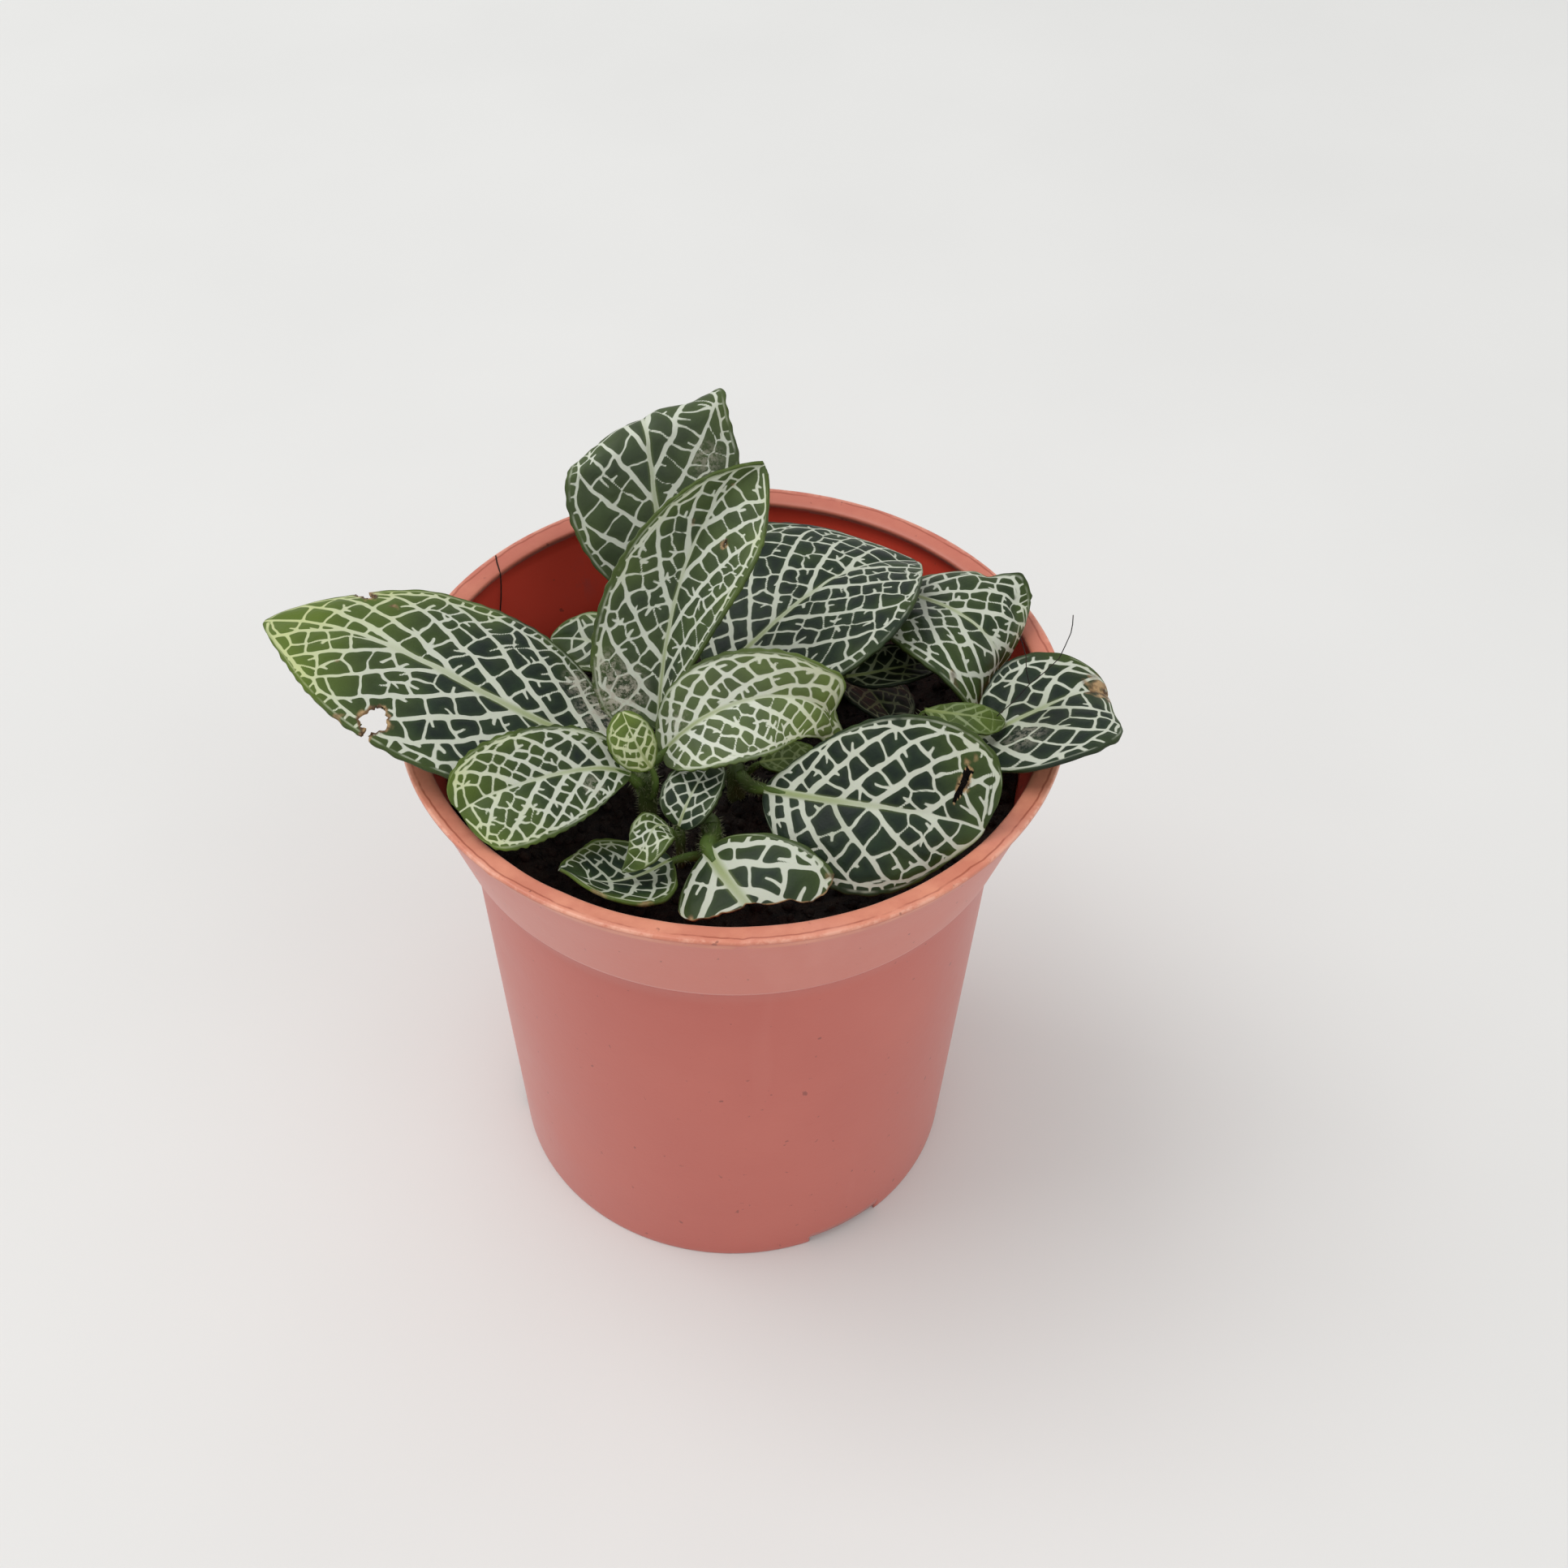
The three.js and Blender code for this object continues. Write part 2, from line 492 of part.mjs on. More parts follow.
function potSolid() {
  const inner = (r) => r - WALL;
  const profile = [
    [0, 0],
    [HUB_RADIUS, 0],
    [HUB_RADIUS + FOOT_BEVEL, FLOOR_UNDERSIDE_Z],
    [FOOT_RING_INNER_RADIUS, FLOOR_UNDERSIDE_Z],
    [FOOT_RING_INNER_RADIUS, 0],
    [FOOT_RADIUS, 0],
    [FOOT_RADIUS + FOOT_BEVEL, FOOT_BEVEL * 2],
    [BODY_FOOT_RADIUS, BODY_FOOT_Z],
    [BODY_TOP_RADIUS, COLLAR_FOOT_Z - STEP_RISE - EDGE / 2],
    [COLLAR_FOOT_RADIUS - EDGE, COLLAR_FOOT_Z - EDGE / 2],
    [COLLAR_FOOT_RADIUS, COLLAR_FOOT_Z + EDGE],
    [COLLAR_MIDDLE_RADIUS, COLLAR_MIDDLE_Z],
    [COLLAR_TOP_RADIUS, POT_HEIGHT - LIP_THICKNESS - EDGE],
    [RIM_RADIUS, POT_HEIGHT - LIP_THICKNESS],
    [RIM_RADIUS, POT_HEIGHT - EDGE],
    [RIM_RADIUS - EDGE, POT_HEIGHT],
    [RIM_RADIUS - LIP_WIDTH + EDGE, POT_HEIGHT - LIP_DROP],
    [RIM_RADIUS - LIP_WIDTH, POT_HEIGHT - LIP_DROP - EDGE],
    [RIM_RADIUS - LIP_WIDTH, POT_HEIGHT - LIP_DROP - LIP_THICKNESS],
    [inner(COLLAR_TOP_RADIUS) - EDGE, POT_HEIGHT - LIP_DROP - LIP_THICKNESS - LIP_UNDERCUT],
    [inner(COLLAR_MIDDLE_RADIUS), COLLAR_MIDDLE_Z],
    [inner(COLLAR_FOOT_RADIUS), COLLAR_FOOT_Z + WALL],
    [inner(BODY_TOP_RADIUS), COLLAR_FOOT_Z - STEP_RISE],
    [inner(BODY_FOOT_RADIUS), BODY_FOOT_Z + FLOOR_FILLET + STEP_RISE],
    [inner(BODY_FOOT_RADIUS) - FLOOR_FILLET, FLOOR_TOP_Z],
    [0, FLOOR_TOP_Z],
  ];
  let pot = solidLathe(profile, POT_SIDES);
  for (let i = 0; i < DRAIN_COUNT; i += 1) {
    const angle = radians((360 * i) / DRAIN_COUNT);
    const x = DRAIN_CIRCLE * Math.cos(angle);
    const y = DRAIN_CIRCLE * Math.sin(angle);
    pot = pot.subtract(cylinderAt(DRAIN_RADIUS, CUT_THROUGH, DRAIN_SIDES, x, y, -CUT_THROUGH / 4));
  }
  for (let i = 0; i < NOTCH_COUNT; i += 1) {
    const span = 2 * FOOT_RADIUS * Math.sin(radians(NOTCH_SPAN_DEG / 2));
    const notch = new THREE.BoxGeometry(NOTCH_DEPTH, span, NOTCH_HEIGHT * 2);
    notch.translate(FOOT_RADIUS, 0, 0);
    notch.rotateZ(radians(NOTCH_START_DEG + (360 * i) / NOTCH_COUNT));
    pot = pot.subtract(toManifold(notch));
  }
  return pot;
}

function soilSolid() {
  const inner = (r) => r - WALL - SOIL_CLEARANCE;
  const slope = (COLLAR_MIDDLE_RADIUS - COLLAR_FOOT_RADIUS) / (COLLAR_MIDDLE_Z - COLLAR_FOOT_Z);
  const edgeRadius = inner(COLLAR_FOOT_RADIUS) + slope * (SOIL_TOP_Z - COLLAR_FOOT_Z - SOIL_EDGE);
  const profile = [
    [0, FLOOR_TOP_Z + SOIL_CLEARANCE],
    [inner(BODY_FOOT_RADIUS) - FLOOR_FILLET * 1.2, FLOOR_TOP_Z + SOIL_CLEARANCE],
    [inner(BODY_FOOT_RADIUS), BODY_FOOT_Z + FLOOR_FILLET * 2],
    [inner(BODY_TOP_RADIUS), COLLAR_FOOT_Z - EDGE],
    [inner(COLLAR_FOOT_RADIUS), COLLAR_FOOT_Z + WALL + SOIL_CLEARANCE],
    [edgeRadius, SOIL_TOP_Z - SOIL_EDGE / 2],
    [edgeRadius - SOIL_EDGE, SOIL_TOP_Z],
    [edgeRadius / 2, SOIL_TOP_Z + SOIL_CROWN],
    [0, SOIL_TOP_Z + SOIL_CROWN * 1.2],
  ];
  let soil = solidLathe(profile, SOIL_SIDES);
  for (const stem of Object.values(STEMS)) {
    const depth = SOIL_TOP_Z + SOIL_CROWN * 3 - STEM_FOOT_Z + CLEARANCE;
    soil = soil.subtract(cylinderAt(stem.radius + CLEARANCE, depth, STEM_SIDES,
      stem.at[0], stem.at[1], STEM_FOOT_Z - CLEARANCE));
  }
  return soil;
}

function stemSolid(name) {
  const stem = STEMS[name];
  const solid = solidLathe([
    [0, STEM_FOOT_Z],
    [stem.radius, STEM_FOOT_Z],
    [stem.radius, stem.top - STEM_SHOULDER],
    [stem.radius * STEM_TOP_SHARE, stem.top],
    [0, stem.top],
  ], STEM_SIDES);
  return solid.translate([stem.at[0], stem.at[1], 0]);
}

function addPart(group, name, solid, colour, roughness) {
  const material = new THREE.MeshStandardMaterial({ color: colour, roughness, metalness: 0 });
  const mesh = new THREE.Mesh(toGeometry(solid), material);
  mesh.name = name;
  group.add(mesh);
}

const plant = new THREE.Group();
plant.name = 'potted_nerve_plant';
addPart(plant, 'pot', potSolid(), POT_COLOUR, 0.45);
addPart(plant, 'soil', soilSolid(), SOIL_COLOUR, 0.95);
for (const name of Object.keys(STEMS)) {
  addPart(plant, name, stemSolid(name), STEM_COLOUR, 0.6);
}
for (const [name, leaf] of Object.entries(LEAVES)) {
  addPart(plant, name, leafSolid(name), leaf.young ? YOUNG_LEAF_COLOUR : LEAF_COLOUR, 0.55);
}

export default plant;
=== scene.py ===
"""Potted nerve plant: veined leaves, hairy stems, dark soil and a thin nursery pot."""

import math
import random
from types import SimpleNamespace

import bmesh
import bpy
import numpy as np
from mathutils import Matrix, Vector


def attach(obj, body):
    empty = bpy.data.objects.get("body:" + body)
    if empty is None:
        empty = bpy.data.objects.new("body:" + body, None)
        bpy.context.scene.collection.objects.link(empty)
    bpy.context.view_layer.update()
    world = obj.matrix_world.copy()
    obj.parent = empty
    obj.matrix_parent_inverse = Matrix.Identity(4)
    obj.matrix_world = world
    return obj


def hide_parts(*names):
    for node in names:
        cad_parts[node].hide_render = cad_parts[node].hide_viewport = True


bl_info = {
    "name": "Potted nerve plant",
    "version": (1, 0, 0),
    "blender": (4, 5, 0),
    "location": "View3D > Sidebar > Nerve plant",
    "description": "Builds a potted nerve plant over its solid frame",
    "category": "Add Mesh",
}

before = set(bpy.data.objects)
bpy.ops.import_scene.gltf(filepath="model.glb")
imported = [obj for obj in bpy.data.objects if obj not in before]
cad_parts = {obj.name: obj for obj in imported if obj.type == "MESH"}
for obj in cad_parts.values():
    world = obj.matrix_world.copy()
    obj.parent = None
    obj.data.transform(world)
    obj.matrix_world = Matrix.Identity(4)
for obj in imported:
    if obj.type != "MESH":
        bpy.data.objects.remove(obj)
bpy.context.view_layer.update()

MM = 0.001
CAMERA_LENS = 2300 / 1932 * 36
CAMERA_SHIFT = (0.0326, 0.0762)
CAMERA_PLACE = (0.0, -208.8, 287.9)
CAMERA_TARGET = (0.0, 0.0, 49.4)

# Each leaf in millimetres. rib: control points of the midrib, base to tip. side: the
# direction of the right half. width, fold, curl, round and point hold left and right
# values; roll holds base and tip. stem, join and leave say where the stalk starts.
LEAVES = {
    "leaf_left_large": dict(
        rib=((-15, -11.5, 95.5), (-30.5, -11.5, 101), (-43, -3.5, 106), (-54.5, 5.5, 108),
            (-70.5, 7.5, 105)),
        side=(0.34, 0.92, 0.18), width=(19, 19), fold=(6, 6), curl=(-16, -19), roll=(-15, -18),
        round=(0.64, 0.66), point=(0.75, 0.86), stem="stem_main", join=92, leave=(-3, 5.5, 0), stalk=1.1,
    ),
    "leaf_left_front": dict(
        rib=((-14.5, -21, 101), (-20, -21, 104.5), (-26, -25, 104), (-34, -26.5, 104), (-38, -28.5, 101)),
        side=(-0.3, 0.95, 0), width=(9, 7.5), fold=(11, 13), curl=(-15, -5), roll=(32, 32),
        round=(0.61, 0.54), point=(0.3, 0.38), stem="stem_main", join=96.5, leave=(-3, -4, 0), stalk=0.9,
    ),
    "leaf_centre_upright": dict(
        rib=((-10.5, -10.5, 99.5), (-10.5, -3, 109), (-8, 3, 117), (-5, 7.5, 128.5), (4.5, 8, 133)),
        side=(0.93, -0.26, -0.26), width=(11, 12), fold=(26, 25), curl=(13, 15), roll=(40, -13),
        round=(0.28, 0.59), point=(0.8, 0.51), stem="stem_main", join=96, leave=(1.5, 6, 0), stalk=1,
    ),
    "leaf_back_upright": dict(
        rib=((-11, 20.3, 97.5), (-10.5, 24.3, 108), (-13.5, 30.3, 117.5), (-14, 36.3, 127),
            (-13, 39.8, 137)),
        side=(1, 0.02, 0.03), width=(14, 14.5), fold=(5, 5), curl=(-22, -24), roll=(-19, -17),
        round=(0.57, 0.61), point=(0.69, 0.64), stem="stem_back", join=92, leave=(0, 1, 0), stalk=1,
        bend=dict(at=(-13, 31.7, 119.6), axis=(0.87, 0.47, 0.15), toward=(-2, 19.5, 39.5), radius=3,
        degrees=118),
    ),
    "leaf_right_broad": dict(
        rib=((-3, 1.5, 98), (4.5, 5, 105), (12.5, 11, 110), (18.5, 17.5, 109.5), (28.5, 21, 105.5)),
        side=(0.56, -0.79, -0.24), width=(19, 18), fold=(9, 11), curl=(-14, -10), roll=(5, 27),
        round=(0.66, 0.67), point=(0.78, 0.76), stem="stem_centre", join=93, leave=(1, 0.4, 0), stalk=1,
    ),
    "leaf_centre_front": dict(
        rib=((-10, -16.1, 100.2), (-5, -16.6, 109.7), (4.5, -15.1, 114.2), (14.5, -14.1, 111.7),
            (15.5, -15.1, 101.2)),
        side=(0.04, -0.96, -0.29), width=(7.5, 8.5), fold=(15, 13), curl=(1, -10), roll=(-12, -64),
        round=(0.51, 0.48), point=(0.77, 0.78), stem="stem_main", join=98, leave=(0, 0, 1), stalk=0.8,
    ),
    "leaf_young_lime": dict(
        rib=((-11.5, -20.5, 102), (-13, -20.5, 104.5), (-13.5, -20, 106), (-14.5, -19, 108),
            (-15.5, -17, 109.5)),
        side=(0.87, 0.42, 0.26), width=(4, 3), fold=(12, 12), curl=(-9, -11), roll=(-2, -3),
        round=(0.62, 0.6), point=(0.5, 0.52), stem="stem_main", join=94, leave=(1, -3.5, 0), stalk=0.6,
    ),
    "leaf_front_right": dict(
        rib=((4.5, -21.7, 98.9), (12.5, -26.7, 101.4), (18.5, -29.2, 103.4), (27.5, -30.2, 103.4),
            (35, -30.6, 99.8)),
        side=(-0.25, -0.83, -0.49), width=(13.5, 12.7), fold=(11, 4), curl=(-4, -23), roll=(4, -20),
        round=(0.71, 0.68), point=(0.33, 0.76), stem="stem_right_front", join=93, leave=(0.6, -1, 0),
        stalk=1.1,
    ),
    "leaf_front_cut": dict(
        rib=((-3.5, -30.1, 95.2), (-1, -38.1, 97.7), (3.5, -43.6, 95.2), (9.5, -47.1, 91.2),
            (13, -52.1, 87.2)),
        side=(-0.81, -0.58, -0.1), width=(12, 11), fold=(9, 8), curl=(-13, -21), roll=(-22, -8),
        round=(0.65, 0.65), point=(0.7, 0.71), stem="stem_front", join=92.5, leave=(0.2, -1, 0),
        stalk=1.5,
        trim=(0.56, 0.61, 0.56, 0.475, 0.4, 0.37, 0.335, 0.29, 0.2),
    ),
    "leaf_front_low": dict(
        rib=((-8.6, -28.8, 91.6), (-12, -30.8, 91.3), (-14.5, -34.4, 91.8), (-19.5, -35.8, 93.5),
            (-24, -35.4, 97.2)),
        side=(-0.39, 0.92, 0), width=(8.8, 9.6), fold=(13, 12), curl=(-6, -11), roll=(-8, -14),
        round=(0.8, 0.62), point=(0.71, 0.67), stem="stem_front", join=89, leave=(0.1, -1, 0), stalk=0.8,
    ),
    "leaf_small_right": dict(
        rib=((-7.6, -25.2, 95), (-7, -24.9, 97.3), (-6, -21.8, 99), (-3.5, -18.2, 99.3),
            (-2.5, -15.4, 99.1)),
        side=(0.89, -0.39, -0.25), width=(4.5, 4.5), fold=(14, 15), curl=(-8, -2), roll=(13, 12),
        round=(0.57, 0.57), point=(0.74, 0.72), stem="stem_small", join=93.6, leave=(0, 0, 1), stalk=0.6,
    ),
    "leaf_small_left": dict(
        rib=((-9.2, -27, 96.4), (-11.5, -28.5, 99.5), (-11.5, -31.5, 100), (-11.5, -33, 98),
            (-15.5, -34, 95)),
        side=(-0.72, 0.7, 0), width=(3.5, 3), fold=(12, 13), curl=(-11, -6), roll=(11, 7),
        round=(0.58, 0.56), point=(0.75, 0.79), stem="stem_small", join=92.9, leave=(-0.6, -1, 0),
        stalk=0.6,
    ),
    "leaf_right_back": dict(
        rib=((24, 19.6, 100.3), (31.5, 13.1, 105.8), (40, 2.1, 107.8), (41.5, 2.6, 101.3),
            (39.5, 8.1, 91.3)),
        side=(-0.65, -0.74, -0.15), width=(13, 13.5), fold=(9, 10), curl=(-17, -13), roll=(9, 11),
        round=(0.62, 0.58), point=(0.66, 0.68), stem="stem_right_back", join=95, leave=(1, -0.4, 0),
        stalk=0.9,
    ),
    "leaf_far_right": dict(
        rib=((35, -10.1, 96.7), (41, -11.1, 101.7), (46.5, -8.6, 103.2), (52, -4.6, 104.2),
            (55, -5.6, 101.7)),
        side=(0.21, -0.98, 0), width=(11, 14.5), fold=(11, 11), curl=(-5, -11), roll=(9, 3),
        round=(0.56, 0.59), point=(0.74, 0.68), stem="stem_far_right", join=93, leave=(1, 0.2, 0),
        stalk=0.9,
    ),
    "leaf_young_right": dict(
        rib=((28, -8.5, 101.8), (31.5, -11, 103.3), (34, -12, 104.3), (36.5, -12, 103.3),
            (39.5, -10, 101.1)),
        side=(-0.14, -0.95, -0.28), width=(2, 3), fold=(10, 11), curl=(-14, -10), roll=(-10, -6),
        round=(0.74, 0.73), point=(0.63, 0.63), stem="stem_far_right", join=93.5, leave=(-0.3, 1, 0),
        stalk=0.6,
    ),
    "leaf_shaded_upper": dict(
        rib=((17, 2.4, 98.4), (21, 2.4, 98.9), (25, 2.9, 99.8), (28.5, 4.9, 99.3), (31.5, 6.9, 97.3)),
        side=(0.32, -0.95, 0), width=(4.5, 4), fold=(14, 14), curl=(-5, -7), roll=(-6, -2),
        round=(0.6, 0.6), point=(0.73, 0.73), stem="stem_right", join=92, leave=(0, 0, 1), stalk=0.7,
    ),
    "leaf_shaded_lower": dict(
        rib=((18.5, 9.5, 92), (20, 7, 93.5), (21.5, 4, 93), (24, 1, 92.5), (24.5, -2.5, 92.5)),
        side=(-0.89, -0.45, 0), width=(7, 6.5), fold=(11, 12), curl=(-14, -7), roll=(19, 20),
        round=(0.6, 0.6), point=(0.7, 0.7), stem="stem_right", join=89.5, leave=(1, 0.3, 0), stalk=0.7,
    ),
    "leaf_behind_left": dict(
        rib=((-14, 10, 96), (-18, 9.5, 97.5), (-21, 10.5, 98.5), (-24, 12.5, 98), (-28.5, 14.5, 95.5)),
        side=(0.31, 0.93, 0.19), width=(5, 5), fold=(10, 11), curl=(-15, -10), roll=(20, 15),
        round=(0.7, 0.68), point=(0.65, 0.67), stem="stem_back", join=92, leave=(-0.5, -1, 0), stalk=0.7,
    ),
    "leaf_shaded_young": dict(
        rib=((4, -12.5, 95), (6, -13, 96), (8, -13, 96.5), (11, -12, 96), (12.5, -13.5, 95.5)),
        side=(-0.11, -0.97, -0.19), width=(3, 3), fold=(11, 11), curl=(-11, -11), roll=(1, -2),
        round=(0.75, 0.76), point=(0.59, 0.58), stem="stem_right_front", join=92, leave=(1, 0.2, 0),
        stalk=0.6,
    ),
}

# Side veins of each leaf: where each leaves the midrib and where it nears the margin,
# as shares of the midrib's length; half-widths of midrib, side vein and rung; the
# spacing of the rungs, all in millimetres.
VEINS = {
    "leaf_left_large": dict(
        left=((0.05, 0.22), (0.12, 0.34), (0.2, 0.46), (0.29, 0.55), (0.385, 0.65), (0.5, 0.75),
            (0.62, 0.85), (0.78, 0.94)),
        right=((0.03, 0.28), (0.09, 0.43), (0.165, 0.62), (0.285, 0.76), (0.45, 0.86), (0.6, 0.93)),
        mid=0.765, side=0.448, rung=0.211, cell=3.8),
    "leaf_left_front": dict(
        left=((0.05, 0.13), (0.13, 0.36), (0.24, 0.57), (0.36, 0.68), (0.51, 0.83), (0.74, 0.95)),
        right=((0.05, 0.14), (0.1, 0.22), (0.17, 0.4), (0.3, 0.58), (0.46, 0.76), (0.64, 0.9)),
        mid=0.378, side=0.287, rung=0.145, cell=2),
    "leaf_centre_upright": dict(
        left=((0.04, 0.14), (0.09, 0.33), (0.23, 0.48), (0.4, 0.68), (0.58, 0.84), (0.74, 0.93)),
        right=((0.05, 0.35), (0.14, 0.6), (0.3, 0.8), (0.5, 0.9), (0.7, 0.95)),
        mid=0.45, side=0.34, rung=0.15, cell=2.7),
    "leaf_back_upright": dict(
        left=((0.05, 0.2), (0.14, 0.35), (0.26, 0.5), (0.37, 0.72), (0.53, 0.85), (0.7, 0.93)),
        right=((0.06, 0.25), (0.18, 0.45), (0.32, 0.68), (0.46, 0.82), (0.62, 0.92)),
        mid=0.45, side=0.358, rung=0.14, cell=3.4),
    "leaf_right_broad": dict(
        left=((0.05, 0.2), (0.125, 0.4), (0.2, 0.58), (0.31, 0.74), (0.48, 0.86), (0.66, 0.94)),
        right=((0.05, 0.2), (0.11, 0.35), (0.19, 0.52), (0.34, 0.66), (0.52, 0.82), (0.7, 0.92)),
        mid=0.405, side=0.305, rung=0.15, cell=3),
    "leaf_centre_front": dict(
        left=((0.03, 0.12), (0.06, 0.25), (0.11, 0.4), (0.2, 0.55), (0.34, 0.7), (0.5, 0.82),
            (0.66, 0.92)),
        right=((0.04, 0.11), (0.1, 0.21), (0.17, 0.36), (0.29, 0.55), (0.45, 0.75), (0.6, 0.87)),
        mid=0.378, side=0.305, rung=0.161, cell=2.2),
    "leaf_young_lime": dict(mid=0.24, side=0.2, rung=0.093, cell=1.8),
    "leaf_front_right": dict(
        left=((0.04, 0.12), (0.11, 0.34), (0.22, 0.58), (0.35, 0.74), (0.5, 0.86), (0.73, 0.95)),
        right=((0.04, 0.13), (0.11, 0.28), (0.18, 0.46), (0.33, 0.63), (0.5, 0.8), (0.71, 0.93)),
        mid=0.495, side=0.376, rung=0.183, cell=3.3),
    "leaf_front_cut": dict(
        left=((0.05, 0.25), (0.14, 0.5), (0.3, 0.75)),
        right=((0.04, 0.2), (0.15, 0.42)),
        mid=0.8, side=0.48, rung=0.25, cell=4.9),
    "leaf_front_low": dict(mid=0.34, side=0.27, rung=0.155, cell=3.1),
    "leaf_small_right": dict(mid=0.22, side=0.1615, rung=0.111, cell=2),
    "leaf_small_left": dict(mid=0.2, side=0.1445, rung=0.102, cell=1.8),
    "leaf_right_back": dict(
        left=((0.05, 0.18), (0.12, 0.36), (0.2, 0.62), (0.4, 0.78), (0.6, 0.9)),
        right=((0.05, 0.24), (0.12, 0.4), (0.22, 0.64), (0.4, 0.8), (0.6, 0.92)),
        mid=0.378, side=0.358, rung=0.183, cell=3),
    "leaf_far_right": dict(
        left=((0.04, 0.16), (0.19, 0.6), (0.5, 0.84), (0.72, 0.94)),
        right=((0.04, 0.16), (0.12, 0.38), (0.3, 0.7), (0.5, 0.88)),
        mid=0.45, side=0.376, rung=0.183, cell=3.6),
    "leaf_young_right": dict(mid=0.198, side=0.16, rung=0.066, cell=2),
    "leaf_shaded_upper": dict(mid=0.28, side=0.2, rung=0.111, cell=2.6),
    "leaf_shaded_lower": dict(mid=0.26, side=0.2, rung=0.102, cell=2.6),
    "leaf_behind_left": dict(mid=0.36, side=0.3, rung=0.16, cell=3.8),
    "leaf_shaded_young": dict(mid=0.18, side=0.128, rung=0.094, cell=1.6),
}

TIP_HALF_WIDTH = 0.35
FAR = 9.0
RIB_SAMPLES, MOST_ROWS = 200, 230
HAIR_THICK = 0.045

# Marks on the blades: (share along the midrib, share across, radius in mm, strength)
BROWN = {
    "leaf_left_large": ((0.53, -0.8, 2.9, 0.75), (0.6, -0.99, 1.6, 0.55), (0.8, 0.85, 2.6, 0.5),
        (0.72, 0.55, 1.0, 0.6), (0.72, -0.5, 0.9, 0.45)),
    "leaf_front_right": ((0.845, -0.43, 1.7, 0.45), (0.84, -0.72, 1.2, 0.5)),
    "leaf_far_right": ((0.98, -0.05, 3.6, 1.0),),
    "leaf_front_low": ((0.78, -0.9, 1.7, 0.5), (0.5, -0.98, 1.6, 0.45)),
    "leaf_right_back": ((0.3, -0.98, 1.6, 0.6), (0.62, 0.9, 1.4, 0.5)),
    "leaf_centre_upright": ((0.7, 0.42, 1.0, 0.6), (0.7, -0.28, 0.9, 0.5), (0.87, -0.05, 0.8, 0.5)),
    "leaf_front_cut": ((0.57, -0.95, 1.5, 0.6), (0.3, 0.75, 1.3, 0.5)),
}
# Grey dust scuffs; the patch near the base of leaf_centre_front is a painted sheen
SCUFFS_AND_SHEEN = {
    "leaf_centre_upright": ((0.12, -0.62, 3.8, 1.0), (0.2, -0.75, 2.0, 0.7)),
    "leaf_left_large": ((0.11, 0.6, 3.4, 0.9), (0.19, 0.75, 3.0, 0.8), (0.06, 0.5, 2.4, 0.7)),
    "leaf_back_upright": ((0.49, 0.62, 2.6, 0.5),),
    "leaf_far_right": ((0.34, 0.35, 2.6, 0.45),),
    "leaf_left_front": ((0.24, -0.45, 1.6, 0.5),),
    "leaf_centre_front": ((0.16, -0.3, 1.8, 0.4),),
}
# How lime a blade is: at its base, added toward its tip, added toward its margin. Below zero the blade is
# painted darker, which is painted shade
FRESHNESS_AND_SHADE = {
    "leaf_left_large": (-0.06, 1.1, 0.36),
    "leaf_left_front": (0.12, 0.5, 0.3),
    "leaf_centre_upright": (0.14, 0.2, 0.35),
    "leaf_back_upright": (0.1, 0.15, 0.3),
    "leaf_right_broad": (-0.06, 0.1, 0.15),
    "leaf_centre_front": (0.34, 1.1, 0.2),
    "leaf_young_lime": (0.85, 0.1, 0.1),
    "leaf_front_right": (-0.15, 0.35, 0.28),
    "leaf_front_cut": (0.06, 0.1, 0.35),
    "leaf_front_low": (-0.06, 0.15, 0.75),
    "leaf_small_right": (0.0, 0.1, 0.2),
    "leaf_small_left": (0.35, 0.1, 0.2),
    "leaf_right_back": (0.12, 0.2, 0.22),
    "leaf_far_right": (-0.24, 0.4, 0.3),
    "leaf_young_right": (0.62, 0.1, 0.0),
    "leaf_shaded_upper": (-0.7, 0.1, 0.2),
    "leaf_shaded_lower": (-0.8, 0.1, 0.2),
    "leaf_behind_left": (0.12, 0.2, 0.45),
    "leaf_shaded_young": (0.6, 0.1, 0.1),
}
# How clearly the veins stand out, where it is less than full; on leaf_shaded_young and leaf_front_low the
# dimmer veins are painted shade
VEIN_CLEARNESS = {
    "leaf_young_right": 0.3,
    "leaf_shaded_young": 0.25,
    "leaf_front_low": 0.82,
    "leaf_behind_left": 0.85,
}
# How much paler a blade is than the rest
BRIGHTNESS = {
    "leaf_centre_front": 0.12,
    "leaf_back_upright": 0.075,
    "leaf_centre_upright": 0.055,
    "leaf_young_lime": 0.03,
}
# Small pulls on a blade: share along, share across, reach and pull in mm
NUDGES = {
    "leaf_back_upright": (
        (0.8, 1.0, 5.0, (0.7, 0.3, 0.2)), (0.45, 1.0, 4.0, (0.5, 0.0, 0.0)),
        (0.74, 1.0, 2.0, (0.5, 0.3, 0.3)),
        (0.755, 0.62, 3.4, (0.1, -0.9, -0.8)),
        (0.55, -0.95, 5.0, (0.8, 0.0, 0.0))),
    "leaf_centre_front": (
        (0.87, -0.96, 2.6, (-2.3, 0.0, 0.0)), (0.76, -1.0, 1.5, (0.7, 0.0, 0.3)),
        (0.83, -0.55, 1.7, (-0.3, 0.2, -1.4)), (0.99, 0.0, 2.6, (-0.9, -2.2, -2.0))),
    "leaf_left_large": ((0.7, 1.0, 5.0, (0.0, 0.4, 0.2)),),
    "leaf_right_back": (
        (0.45, -1.0, 2.0, (0.9, 0.5, 0.6)), (0.6, -0.75, 2.6, (-1.7, 0.0, -0.4)),
        (0.34, -0.93, 1.6, (-0.6, -0.5, -0.5))),
}
